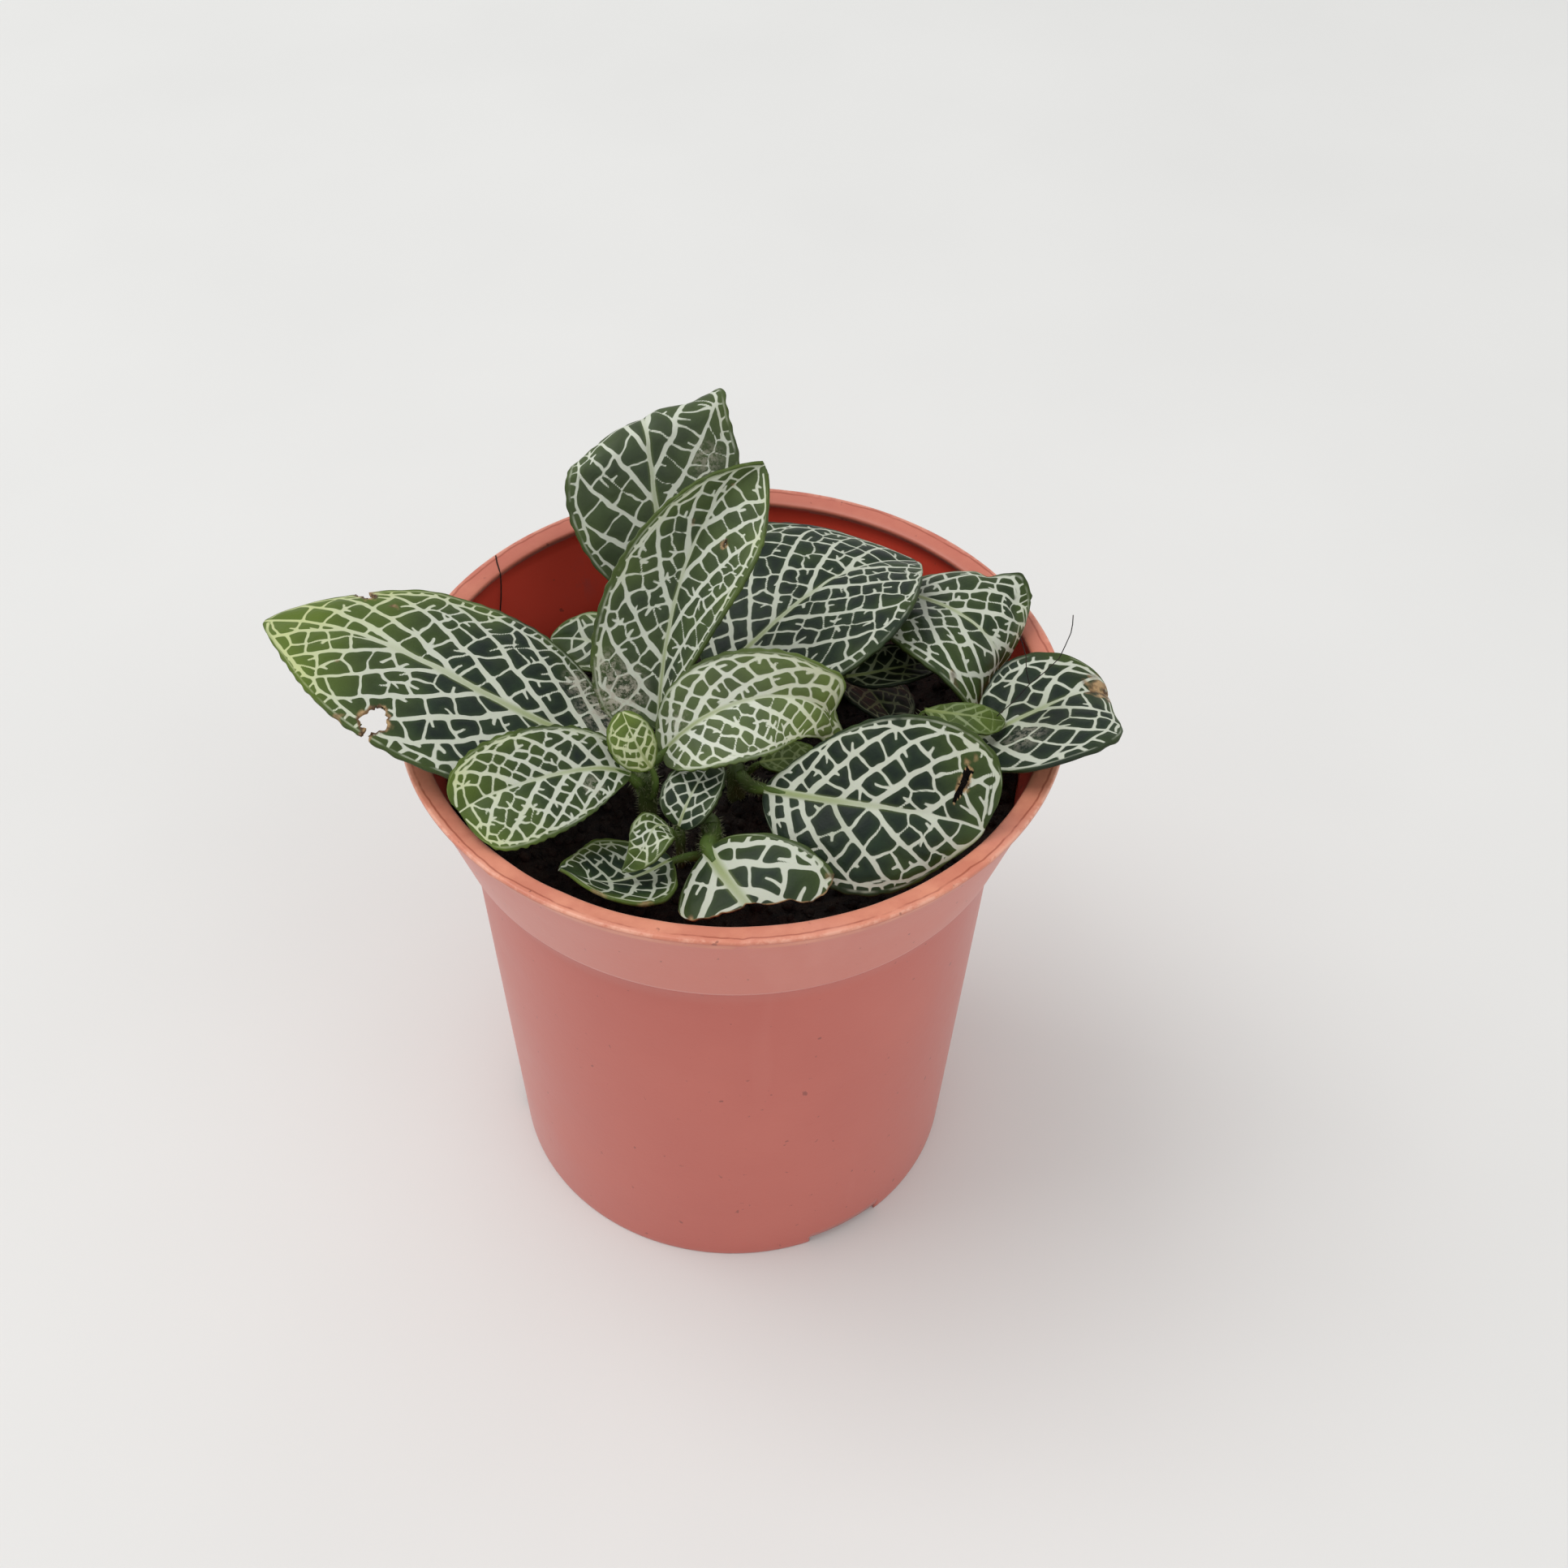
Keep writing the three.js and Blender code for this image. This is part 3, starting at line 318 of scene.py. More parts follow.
# Cuts right through a blade: share along, share across, half-length and half-width in
# mm, and the turn of its long way from the midrib in degrees
CUTS = {
    "leaf_left_large": (
        (0.53, -0.8, 2.4, 1.9, 70), (0.518, -0.97, 1.7, 0.55, 75), (0.818, 0.95, 1.5, 0.9, 60),
        (0.797, 0.8, 1.0, 0.7, 20)),
    "leaf_front_right": ((0.845, -0.43, 2.5, 0.42, 97),),
    "leaf_centre_upright": ((0.7, 0.42, 0.7, 0.22, -10),),
}

# Each stem in millimetres: place, height of its top and radius
STEMS = {
    "stem_main": ((-12.5, -17.0), 98.0, 1.5),
    "stem_front": ((-3.2, -22.5), 94.0, 1.5),
    "stem_small": ((-7.6, -24.2), 93.6, 0.8),
    "stem_right_front": ((0.5, -12.0), 94.5, 1.5),
    "stem_centre": ((-6.5, 0.0), 95.0, 1.5),
    "stem_back": ((-11.0, 15.0), 94.0, 1.5),
    "stem_right": ((14.5, 8.0), 92.0, 1.5),
    "stem_right_back": ((20.0, 21.0), 97.0, 1.5),
    "stem_far_right": ((29.0, -12.0), 95.0, 1.5),
}
STEM_BOTTOM, STEM_RINGS = 66.0, 22


def linear(red, green, blue):
    """A screen colour, 0 to 255, as the linear colour that a shader takes."""
    parts = []
    for value in (red, green, blue):
        share = value / 255
        parts.append(share / 12.92 if share <= 0.04045 else ((share + 0.055) / 1.055) ** 2.4)
    return (*parts, 1.0)


# ---------------------------------------------------------------- blade surface


def bezier(controls, s):
    """Points of a Bezier curve with any number of controls."""
    points = [np.repeat(np.array(c, float)[None], len(s), 0) for c in controls]
    while len(points) > 1:
        points = [a + (b - a) * s[:, None] for a, b in zip(points, points[1:])]
    return points[0]


def unit(v):
    """Vectors at length one."""
    return v / np.maximum(np.linalg.norm(v, axis=-1, keepdims=True), 1e-9)


def fullness(s, round_end, point_end):
    """Share of the full half-width along the midrib."""
    peak = round_end / (round_end + point_end)
    at = np.clip(s, 1e-6, 1 - 1e-6)
    return (at / peak) ** round_end * ((1 - at) / (1 - peak)) ** point_end


def half_width(leaf, s, half):
    """Half-width of the blade at s, with half 0 for left and 1 for right."""
    ends = np.array([leaf["round"], leaf["point"], leaf["width"]], float)[:, half]
    return ends[2] * fullness(s, ends[0], ends[1])


def width_at(leaf, share, half):
    """Half-width of the blade at one share of the midrib."""
    return half_width(leaf, np.array([share]), half)[0]


def bend_back(points, bend):
    """Everything beyond a line in the blade, bent round that line."""
    axis = unit(np.array(bend["axis"], float))
    along = np.array(bend["toward"], float)
    along = unit(along - (along @ axis) * axis)
    up = np.cross(axis, along)
    offset = points - np.array(bend["at"], float)
    a, d, h = offset @ axis, offset @ along, offset @ up
    turn = np.minimum(np.maximum(d, 0) / bend["radius"], math.radians(bend["degrees"]))
    rest = np.maximum(d, 0) - bend["radius"] * turn
    cos, sin = np.cos(turn)[:, None], np.sin(turn)[:, None]
    bent = (
        np.array(bend["at"], float)
        + a[:, None] * axis
        + bend["radius"] * sin * along
        - bend["radius"] * (1 - cos) * up
        + rest[:, None] * (cos * along - sin * up)
        + h[:, None] * (sin * along + cos * up)
    )
    return np.where((d > 0)[:, None], bent, points)


def blade_points(leaf, s, t):
    """The middle surface of a blade, t from -1 at the left margin to 1 at the right."""
    half = (t > 0).astype(int)
    step = 0.001
    tangent = unit(bezier(leaf["rib"], s + step) - bezier(leaf["rib"], s - step))
    side = np.array(leaf["side"], float)[None]
    side = unit(side - (side * tangent).sum(1, keepdims=True) * tangent)
    up = np.cross(side, tangent)
    roll = np.radians(leaf["roll"][0] * (1 - s) + leaf["roll"][1] * s)[:, None]
    across = side * np.cos(roll) + up * np.sin(roll)
    normal = up * np.cos(roll) - side * np.sin(roll)
    reach = np.abs(t) * np.maximum(half_width(leaf, s, half), TIP_HALF_WIDTH)
    rise = np.array(leaf["fold"], float)[half] + np.array(leaf["curl"], float)[half] * np.abs(t) / 2
    rise = np.radians(rise)
    points = bezier(leaf["rib"], s)
    points = points + (reach * np.cos(rise) * np.sign(t))[:, None] * across
    points = points + (reach * np.sin(rise))[:, None] * normal
    return bend_back(points, leaf["bend"]) if "bend" in leaf else points


def blade_normals(leaf, s, t):
    """Upward normals of the middle surface."""
    low, high = np.clip(s - 0.004, 0.001, 0.999), np.clip(s + 0.004, 0.001, 0.999)
    left, right = np.clip(t - 0.02, -1, 1), np.clip(t + 0.02, -1, 1)
    along = blade_points(leaf, high, t) - blade_points(leaf, low, t)
    across = blade_points(leaf, s, right) - blade_points(leaf, s, left)
    return unit(np.cross(across, along))


def ripple(points, pitch, seed):
    """Smooth repeatable noise, about -1 to 1, from a few crossed waves."""
    rng = np.random.default_rng(seed)
    total = np.zeros(len(points))
    for _ in range(7):
        way = rng.normal(size=points.shape[1])
        way *= 2 * math.pi / (pitch * rng.uniform(0.7, 1.5)) / np.linalg.norm(way)
        total += np.sin(points @ way + rng.uniform(0, 2 * math.pi))
    return total / 3.2


# ---------------------------------------------------------------- vein net


# Points worked out at a time, so that the tables stay small in memory
BATCH = 6000


def segment_distance(points, segments):
    """Distance to the nearest tapered segment edge: (x0, y0, x1, y1, r0, r1) rows."""
    best = np.empty(len(points))
    for start in range(0, len(points), BATCH):
        block = points[start : start + BATCH]
        a, b = segments[None, :, 0:2], segments[None, :, 2:4]
        run = b - a
        share = ((block[:, None] - a) * run).sum(2) / np.maximum((run**2).sum(2), 1e-9)
        share = np.clip(share, 0, 1)
        gap = np.linalg.norm(block[:, None] - a - run * share[..., None], axis=2)
        radius = segments[None, :, 4] * (1 - share) + segments[None, :, 5] * share
        best[start : start + BATCH] = (gap - radius).min(1)
    return best


def cell_edges(points, sites):
    """Distance to the nearest border between the cells round the sites."""
    if len(sites) < 2:
        return np.full(len(points), FAR)
    best = np.empty(len(points))
    for start in range(0, len(points), BATCH):
        block = points[start : start + BATCH]
        gap = np.linalg.norm(block[:, None] - sites[None], axis=2)
        order = np.argpartition(gap, 1, axis=1)[:, :2]
        near = np.take_along_axis(gap, order, 1)
        flip = near[:, 0] > near[:, 1]
        order[flip] = order[flip][:, ::-1]
        near[flip] = near[flip][:, ::-1]
        apart = np.linalg.norm(sites[order[:, 0]] - sites[order[:, 1]], axis=1)
        best[start : start + BATCH] = (near[:, 1] ** 2 - near[:, 0] ** 2) / (2 * apart)
    return best


def soft_least(a, b, reach):
    """The smaller of two distances, rounded where they meet."""
    close = np.maximum(reach - np.abs(a - b), 0) / reach
    return np.minimum(a, b) - close**2 * reach / 4


# The loops run at this share of the half-width, and side veins bow by this power
LOOP_AT = 0.85
SIDE_BOW = 1.25
VEIN_SHARES = np.linspace(0, 1, 13)


def default_side_veins(length, cell):
    """Side veins for a small leaf, from its length."""
    count = max(4, min(6, round(length / cell / 1.6)))
    starts = [0.05 + 0.7 * (k / count) ** 1.15 for k in range(count)]
    return tuple((s, min(s + 0.2 + 0.08 * math.sin(k), 0.95)) for k, s in enumerate(starts))


def side_vein(leaf, length, half, vein):
    """Points of one side vein, in millimetres along and across."""
    start, end = vein
    x = length * (start + (end - start) * VEIN_SHARES)
    y = LOOP_AT * width_at(leaf, end, half) * (1 - (1 - VEIN_SHARES) ** SIDE_BOW)
    return np.stack([x, y], 1)


def wandering(flat, cell, seed, quick_share):
    """The flat coordinates shifted a little, so that no vein runs quite straight."""
    shift = np.empty_like(flat)
    for k in (0, 1):
        slow = 0.055 * cell * ripple(flat, cell * 1.2, seed + k)
        quick = quick_share * cell * ripple(flat, cell * 0.45, seed + 2 + k)
        shift[:, k] = slow + quick
    return flat + shift


def side_lines(leaf, spec, length, half, rng):
    """The swaying side veins of one half, and their tapered segments."""
    cell = spec["cell"]
    veins = spec.get("right" if half else "left") or default_side_veins(length, cell)
    radius = spec["side"] * (1.22 - 0.6 * VEIN_SHARES)
    segments, lines = [], []
    for vein in veins:
        line = side_vein(leaf, length, half, vein)
        sway = rng.uniform(-0.12, 0.12) * cell
        line[:, 0] += sway * np.sin(VEIN_SHARES * math.pi * rng.uniform(1.2, 2.2))
        line[:, 1] = np.maximum.accumulate(line[:, 1])
        lines.append(line)
        for k in range(len(line) - 1):
            segments.append((*line[k], *line[k + 1], radius[k], radius[k + 1]))
    return lines, segments


def margin_loop(leaf, lines, length, half):
    """The first side vein and the scalloped loop that joins the ends of all of them."""
    goals = [line[-1] for line in lines] + [np.array([length * 0.985, 0.3 * width_at(leaf, 0.975, half)])]
    loop = [tuple(point) for point in lines[0]]
    for last, goal in zip(goals, goals[1:]):
        for part in range(1, 7):
            u = part / 6
            at = last + (goal - last) * u
            lift = 0.2 * u * (1 - u) * width_at(leaf, at[0] / length, half)
            loop.append((at[0], at[1] + lift))
    return loop


def cell_hearts(first, second, cell, rng):
    """The middles of the cells between two side veins, in one row or in two."""
    middle = (first + second) / 2
    run = np.concatenate([[0], np.cumsum(np.linalg.norm(np.diff(middle, axis=0), axis=1))])
    heading = unit(np.gradient(middle, axis=0))
    square = np.stack([heading[:, 1], -heading[:, 0]], 1)
    room = np.abs(((second - first) * square).sum(1)) / 2
    sites = []
    at = cell * rng.uniform(0.1, 0.45)
    while at < run[-1] + cell:
        spot = np.array([np.interp(at, run, middle[:, axis]) for axis in (0, 1)])
        spot[1] += max(at - run[-1], 0)
        way = np.array([np.interp(at, run, square[:, axis]) for axis in (0, 1)])
        gap = np.interp(at, run, room)
        if gap > cell * 0.72:
            for sign in (-1, 1):
                along = rng.uniform(-0.25, 0.25) * cell
                place = spot + way * sign * gap * rng.uniform(0.4, 0.6)
                sites.append((place[0] + way[1] * along, place[1] - way[0] * along))
        else:
            sites.append(tuple(spot + way * gap * rng.uniform(-0.42, 0.42)))
        at += cell * rng.uniform(0.7, 1.25)
    return sites


def margin_hearts(leaf, length, half, cell, rng):
    """The middles of the small cells between the loop and the margin."""
    sites, share = [], 0.02
    while share < 0.985:
        sites.append((share * length, width_at(leaf, share, half) * rng.uniform(0.9, 0.96)))
        share += min(cell, 2.7) * rng.uniform(0.5, 1.0) / length
    return sites


def half_of_net(leaf, spec, length, half, flat, edge, rng):
    """Signed distance to the side veins, loops, rungs and spurs of one half."""
    cell = spec["cell"]
    here = wandering(flat, cell, 60 + 10 * half, 0.018)
    smooth_here = wandering(flat, cell, 60 + 10 * half, 0.008)
    lines, strong = side_lines(leaf, spec, length, half, rng)
    loop = margin_loop(leaf, lines, length, half)
    thin_radius = spec["side"] * 0.55
    for first, second in zip(loop[12:], loop[13:]):
        strong.append((*first, *second, thin_radius, thin_radius))
    rim = np.array(loop)
    order = np.argsort(rim[:, 0], kind="stable")
    outer = here[:, 1] > np.interp(here[:, 0], rim[order, 0], rim[order, 1], right=0.0)
    region = np.zeros(len(here), int)
    for line in lines:
        region += here[:, 0] > np.interp(here[:, 1], line[:, 1], line[:, 0], right=line[-1, 0])
    rungs = np.full(len(here), FAR)
    hearts = []
    first = lines[-1]
    last = np.stack([np.linspace(first[0, 0], length * 0.97, 13), first[:, 1] * 0.25], 1)
    for k, (first, second) in enumerate(zip(lines, [*lines[1:], last]), 1):
        sites = cell_hearts(first, second, cell, rng)
        inside = (region == k) & ~outer
        if inside.any() and len(sites) > 1:
            rungs[inside] = cell_edges(here[inside], np.array(sites))
        hearts += sites
    rungs[outer] = cell_edges(here[outer], np.array(margin_hearts(leaf, length, half, cell, rng)))
    rungs = rungs - spec["rung"] * (1 + 0.22 * ripple(here, cell * 2.2, 8 + half))
    rungs[outer & (margin_gap(leaf, length, half, flat, edge) < hem_inset(edge))] = FAR
    net = soft_least(segment_distance(smooth_here, np.array(strong)), rungs, spec["rung"] * 1.8)
    thin = spurs(here, net, hearts, spec, length, rng)
    if len(thin):
        net = soft_least(net, segment_distance(smooth_here, thin), spec["rung"] * 1.3)
    return net


def hem_inset(edge):
    """How far inside the margin the last thin vein runs, in mm."""
    return np.clip(0.5 * (1 - LOOP_AT) * edge, 0.16, 0.7)


def margin_gap(leaf, length, half, flat, edge):
    """Distance from the margin in mm."""
    share = flat[:, 0] / length
    ahead, behind = np.clip(share + 0.01, 0, 1), np.clip(share - 0.01, 0, 1)
    slope = (half_width(leaf, ahead, half) - half_width(leaf, behind, half)) / (0.02 * length)
    return (edge - flat[:, 1]) / np.sqrt(1 + slope**2)


# Side of a square, in mm, on the chart that a growing spur looks ahead on
CHART_SQUARE = 0.32


def spurs(here, net, hearts, spec, length, rng):
    """Short side twigs that grow from the net into its cells and end there."""
    cell = spec["cell"]
    spot = np.maximum((here / CHART_SQUARE).astype(int), 0)
    chart = np.full(spot.max(0) + 2, FAR)
    chart[spot[:, 0], spot[:, 1]] = net
    grown = []
    for px, py in hearts:
        first_turn = rng.uniform(0, 2 * math.pi)
        for k in range(rng.choice((0, 0, 1, 1, 1))):
            turn = first_turn + k * rng.uniform(1.6, 2.6)
            far = None
            for step in range(1, 16):
                reach = step * cell * 0.07
                x, y = px + reach * math.cos(turn), py + reach * math.sin(turn)
                i, j = int(x / CHART_SQUARE), int(y / CHART_SQUARE)
                if x < 0 or y < 0 or i >= chart.shape[0] or j >= chart.shape[1]:
                    break
                if chart[i, j] < 0.02:
                    far = reach
                    break
            if far is None or far < cell * 0.3:
                continue
            lean = turn + rng.uniform(-0.2, 0.2)
            inner = far * rng.uniform(0.2, 0.5)
            start = (px + far * math.cos(turn), py + far * math.sin(turn))
            end = (px + inner * math.cos(lean), py + inner * math.sin(lean))
            stout = max(spec["rung"], 0.125 if length < 30 else 0.16)
            grown.append((*start, *end, stout * 1.1, stout * 0.85))
    return np.array(grown)


def vein_net(name, leaf, length, x, y, edge):
    """Signed distance to the vein net in mm, below zero inside a vein."""
    spec = VEINS[name]
    flat = np.stack([x, np.abs(y)], 1)
    taper = 1.2 - 0.85 * np.clip(x / length, 0, 1) ** 0.8
    out = np.abs(y + 0.05 * ripple(flat[:, :1], 6, 3)) - spec["mid"] * taper
    for half in (0, 1):
        mine = (y > 0) == bool(half)
        rng = random.Random(name + str(half))
        net = half_of_net(leaf, spec, length, half, flat[mine], edge[mine], rng)
        out[mine] = soft_least(out[mine], net, spec["rung"] * 1.5)
    return out


# ---------------------------------------------------------------- leaves


def spot_on(leaf, length, along, across):
    """A place of a blade, from its shares, in millimetres along and across."""
    return along * length, across * width_at(leaf, along, int(across > 0))


def spots(table, name, blade):
    """Strength of the named marks at each place of a blade."""
    total = np.zeros(len(blade.x))
    for along, across, radius, strength in table.get(name, ()):
        cx, cy = spot_on(blade.leaf, blade.length, along, across)
        gap = np.hypot(blade.x - cx, blade.y - cy) / radius
        total = np.maximum(total, strength * np.clip(1.35 - gap, 0, 1))
    return total


def cut_distance(x, y, cut, length, leaf):
    """Signed distance to a ragged oval cut, and the push that carries a place to its rim."""
    along, across, long_way, wide_way, turn = cut
    cx, cy = spot_on(leaf, length, along, across)
    angle = math.radians(turn)
    u = (x - cx) * math.cos(angle) + (y - cy) * math.sin(angle)
    v = -(x - cx) * math.sin(angle) + (y - cy) * math.cos(angle)
    phase = np.arctan2(v / wide_way, u / long_way)
    ragged = 1 + 0.12 * np.sin(3 * phase + 1) + 0.07 * np.sin(7 * phase) + 0.05 * np.sin(11 * phase + 2)
    radial = np.hypot(u / long_way, v / wide_way) / ragged
    scale = np.hypot(u, v) / np.maximum(radial, 1e-6)
    return (radial - 1) * scale, 1 / np.maximum(radial, 1e-6), (cx, cy)


def set_numbers(mesh, name, values):
    """A float attribute on the vertices."""
    layer = mesh.attributes.new(name, "FLOAT", "POINT")
    layer.data.foreach_set("value", np.asarray(values, np.float32))


STALK, HAIR = -1, -2


def mark_vertices(mesh, values):
    """Writes each blade number, and what is stalk (1) or hair (2), onto the vertices."""
    places = np.empty(len(mesh.vertices), np.int32)
    mesh.attributes["place"].data.foreach_get("value", places)
    mesh.attributes.remove(mesh.attributes["place"])
    on_blade = places >= 0
    set_numbers(mesh, "stalk", np.where(on_blade, 0, -places))
    for key, numbers in values.items():
        set_numbers(mesh, key, np.where(on_blade, numbers[np.maximum(places, 0)], 0))


def tube(bm, centres, radii, sides, layer=None):
    """A closed tube through the centres, marked as stalk where a layer is given."""
    rings = []
    way = None
    for k, centre in enumerate(centres):
        before = centres[max(k - 1, 0)]
        after = centres[min(k + 1, len(centres) - 1)]
        tangent = (after - before).normalized()
        if way is None:
            way = tangent.orthogonal().normalized()
        way = (way - tangent * way.dot(tangent)).normalized()
        turn = Matrix((way, tangent.cross(way), tangent)).transposed().to_4x4()
        made = bmesh.ops.create_circle(
            bm, segments=sides, radius=radii[k], matrix=Matrix.Translation(centre) @ turn
        )
        rings.append(made["verts"])
        if layer is not None:
            for vert in made["verts"]:
                vert[layer] = STALK
    for low, high in zip(rings, rings[1:]):
        for j in range(sides):
            nxt = (j + 1) % sides
            bm.faces.new((low[j], low[nxt], high[nxt], high[j]))
    bm.faces.new(tuple(reversed(rings[0])))
    bm.faces.new(tuple(rings[-1]))


def stalk_path(name):
    """Centre points of a leaf stalk from inside the blade to inside the stem, in mm."""
    leaf = LEAVES[name]
    (sx, sy), _, radius = STEMS[leaf["stem"]]
    out = Vector(leaf["leave"]).normalized()
    upright = out.z > 0.5
    end = Vector((sx, sy, leaf["join"])) + out * (0.0 if upright else radius * 0.6)
    start, base, first = (Vector(point) for point in bezier(leaf["rib"], np.array([0.1, 0.0, 0.01])))
    span = (base - end).length
    leave = base - (first - base).normalized() * span * 0.3
    arrive = end + out * span * 0.35
    controls = [tuple(p) for p in (start, base, leave, arrive, end)]
    return [Vector(p) for p in bezier(controls, np.linspace(0, 1, 15))]


def hair(bm, root, way, length, layer):
    """One slim three-sided hair."""
    way = way.normalized()
    side = way.orthogonal().normalized()
    other = way.cross(side)
    base = []
    for k in range(3):
        angle = 2 * math.pi * k / 3
        out = side * math.cos(angle) + other * math.sin(angle)
        spot = root - way * HAIR_THICK + out * HAIR_THICK
        base.append(bm.verts.new(spot))
    tip = bm.verts.new(root + way * length)
    for vert in (*base, tip):
        vert[layer] = HAIR
    for k in range(3):
        bm.faces.new((base[k], base[(k + 1) % 3], tip))
    bm.faces.new((base[2], base[1], base[0]))


def mesh_of(name, bm, materials=()):
    """A smooth mesh with its materials, from a bmesh that is then done with."""
    mesh = bpy.data.meshes.new(name)
    bm.to_mesh(mesh)
    bm.free()
    for material in materials:
        mesh.materials.append(material)
    mesh.shade_smooth()
    return mesh


def new_object(name, data):
    """An object in the scene's collection."""
    made = bpy.data.objects.new(name, data)
    bpy.context.collection.objects.link(made)
    return made


def new_piece(name, bm, materials):
    """A finished object at the origin, its millimetres turned to metres."""
    mesh = mesh_of(name, bm, materials)
    mesh.transform(Matrix.Scale(MM, 4))
    piece = new_object(name, mesh)
    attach(piece, "root")
    return piece


def mesh_pitch(settings, length):
    """Spacing of a blade's vertices in mm, finer on the smaller leaves."""
    finer = 0.7 if length < 20 else 0.76 if length < 31 else 0.87 if length < 45 else 1.0
    return settings.pitch / MM * finer


def laid_flat(name, settings):
    """A blade laid flat: its grid, and the shares, place in mm and veins of each vertex."""
    leaf, spec = LEAVES[name], VEINS[name]
    shares = np.linspace(0, 1, RIB_SAMPLES)
    gaps = np.linalg.norm(np.diff(bezier(leaf["rib"], shares), axis=0), axis=1)
    length = float(gaps.sum())
    travelled = np.concatenate([[0], np.cumsum(gaps)])
    pitch = mesh_pitch(settings, length)
    rows = int(min(length * max(leaf.get("trim", (1.0,))) / pitch, MOST_ROWS)) + 4
    columns = 2 * int((sum(leaf["width"]) / pitch / 2)) + 2
    bm = bmesh.new()
    bmesh.ops.create_grid(bm, x_segments=rows, y_segments=columns, size=1.0)
    plane = np.array([vert.co[:2] for vert in bm.verts])
    row, t = plane[:, 0].copy(), plane[:, 1].copy()
    s = 0.004 + 0.992 * (row + 1) / 2
    if "trim" in leaf:
        ends = np.linspace(-1, 1, len(leaf["trim"]))
        torn = 0.985 + 0.016 * ripple(t[:, None], 0.4, 3) + 0.008 * ripple(t[:, None], 0.13, 4)
        s = s * np.interp(t, ends, leaf["trim"]) * torn
    half = (t > 0).astype(int)
    widths = half_width(leaf, s, half)
    x = np.interp(s, shares, travelled)
    scallop = 0.5 + 0.5 * np.clip(ripple(np.stack([x, 9.0 * half], 1), spec["cell"] * 0.8, 17), -1, 1)
    t = t * (1 - np.minimum(0.28 / np.maximum(widths, 1.5), 0.05) * scallop * np.abs(t) ** 8)
    y = t * widths
    # carry the rims of the cuts, and note what lies inside them
    gone = np.zeros(len(s), bool)
    for cut in CUTS.get(name, ()):
        distance, push, (cx, cy) = cut_distance(x, y, cut, length, leaf)
        gone |= distance < 0
        rim = (distance >= 0) & (distance < pitch * 1.5)
        x[rim] = cx + (x[rim] - cx) * push[rim]
        y[rim] = cy + (y[rim] - cy) * push[rim]
        s[rim] = np.interp(x[rim], travelled, shares)
        widths = half_width(leaf, s, half)
        t[rim] = np.clip(y[rim] / np.maximum(widths[rim], 0.3), -1, 1)
    blade = SimpleNamespace(leaf=leaf, spec=spec, length=length, row=row, s=s, t=t, x=x, y=y)
    blade.widths, blade.gone, blade.flat = widths, gone, np.stack([x, y], 1)
    blade.veins = vein_net(name, leaf, length, x, y, widths)
    return bm, blade


def shaped(name, blade, settings):
    """The vertices in space, with quilting and small pulls, and the first one's normal."""
    leaf, s, y = blade.leaf, blade.s, blade.y
    cell, mid = blade.spec["cell"], blade.spec["mid"]
    swell = np.clip(blade.veins / (cell * 0.32), 0, 1)
    swell = swell * swell * (3 - 2 * swell)
    size = min(cell / 3.6, 1.0)
    lift = settings.swell / MM * size * swell
    lift += 0.09 * size * ripple(blade.flat, cell * 1.7, 21)
    lift -= 0.1 * size * np.exp(-((y / (mid * 2.2)) ** 2))
    lift += 0.28 * size * np.exp(-((y / mid) ** 2)) * np.clip(1.1 - 1.6 * s, 0, 1)
    lift = np.clip(lift, -0.12, 0.18)
    normals = blade_normals(leaf, s, blade.t)
    points = blade_points(leaf, s, blade.t) + normals * lift[:, None]
    for along, across, reach, pull in NUDGES.get(name, ()):
        cx, cy = spot_on(leaf, blade.length, along, across)
        gap = np.hypot(blade.x - cx, y - cy) / reach
        points = points + np.exp(-(gap**2))[:, None] * np.array(pull, float)
    return points, Vector(normals[0])


def blade_marks(name, blade):
    """The numbers that colour a blade, one of each for every vertex."""
    spec, s, t = blade.spec, blade.s, blade.t
    base, tipward, edgeward = FRESHNESS_AND_SHADE[name]
    # fresh holds the lime of new growth and, below zero, painted shade
    fresh = base + tipward * np.clip((s - 0.42) / 0.5, 0, 1) ** 1.2
    fresh = fresh + edgeward * np.clip((np.abs(t) - 0.45) / 0.55, 0, 1) ** 1.5
    fresh = fresh + 0.1 * ripple(blade.flat, spec["cell"] * 3, 31)
    brown = spots(BROWN, name, blade) * (0.8 + 0.4 * ripple(blade.flat, 1.3, 41))
    for cut in CUTS.get(name, ()):
        distance, _, _ = cut_distance(blade.x, blade.y, cut, blade.length, blade.leaf)
        brown = np.maximum(brown, np.clip(0.85 - distance / 0.6, 0, 1))
    if "trim" in blade.leaf:
        brown = np.maximum(brown, np.clip((blade.row - 0.955) / 0.045, 0, 1) * 0.9)
    edge = np.maximum(blade.widths, 0.3) * (1 - np.abs(t))
    midrib = np.clip(1.3 - np.abs(blade.y) / (spec["mid"] * 1.1), 0, 1) * np.clip(1.3 - 1.7 * s, 0, 1)
    return {
        "vein": blade.veins, "fresh": fresh, "brown": brown, "scuff_and_sheen": spots(SCUFFS_AND_SHEEN, name, blade),
        "edge": edge, "midrib": midrib, "clear": np.full(len(s), VEIN_CLEARNESS.get(name, 1.0)),
        "hem": edge / hem_inset(blade.widths), "bright": np.full(len(s), BRIGHTNESS.get(name, 0.0)),
    }


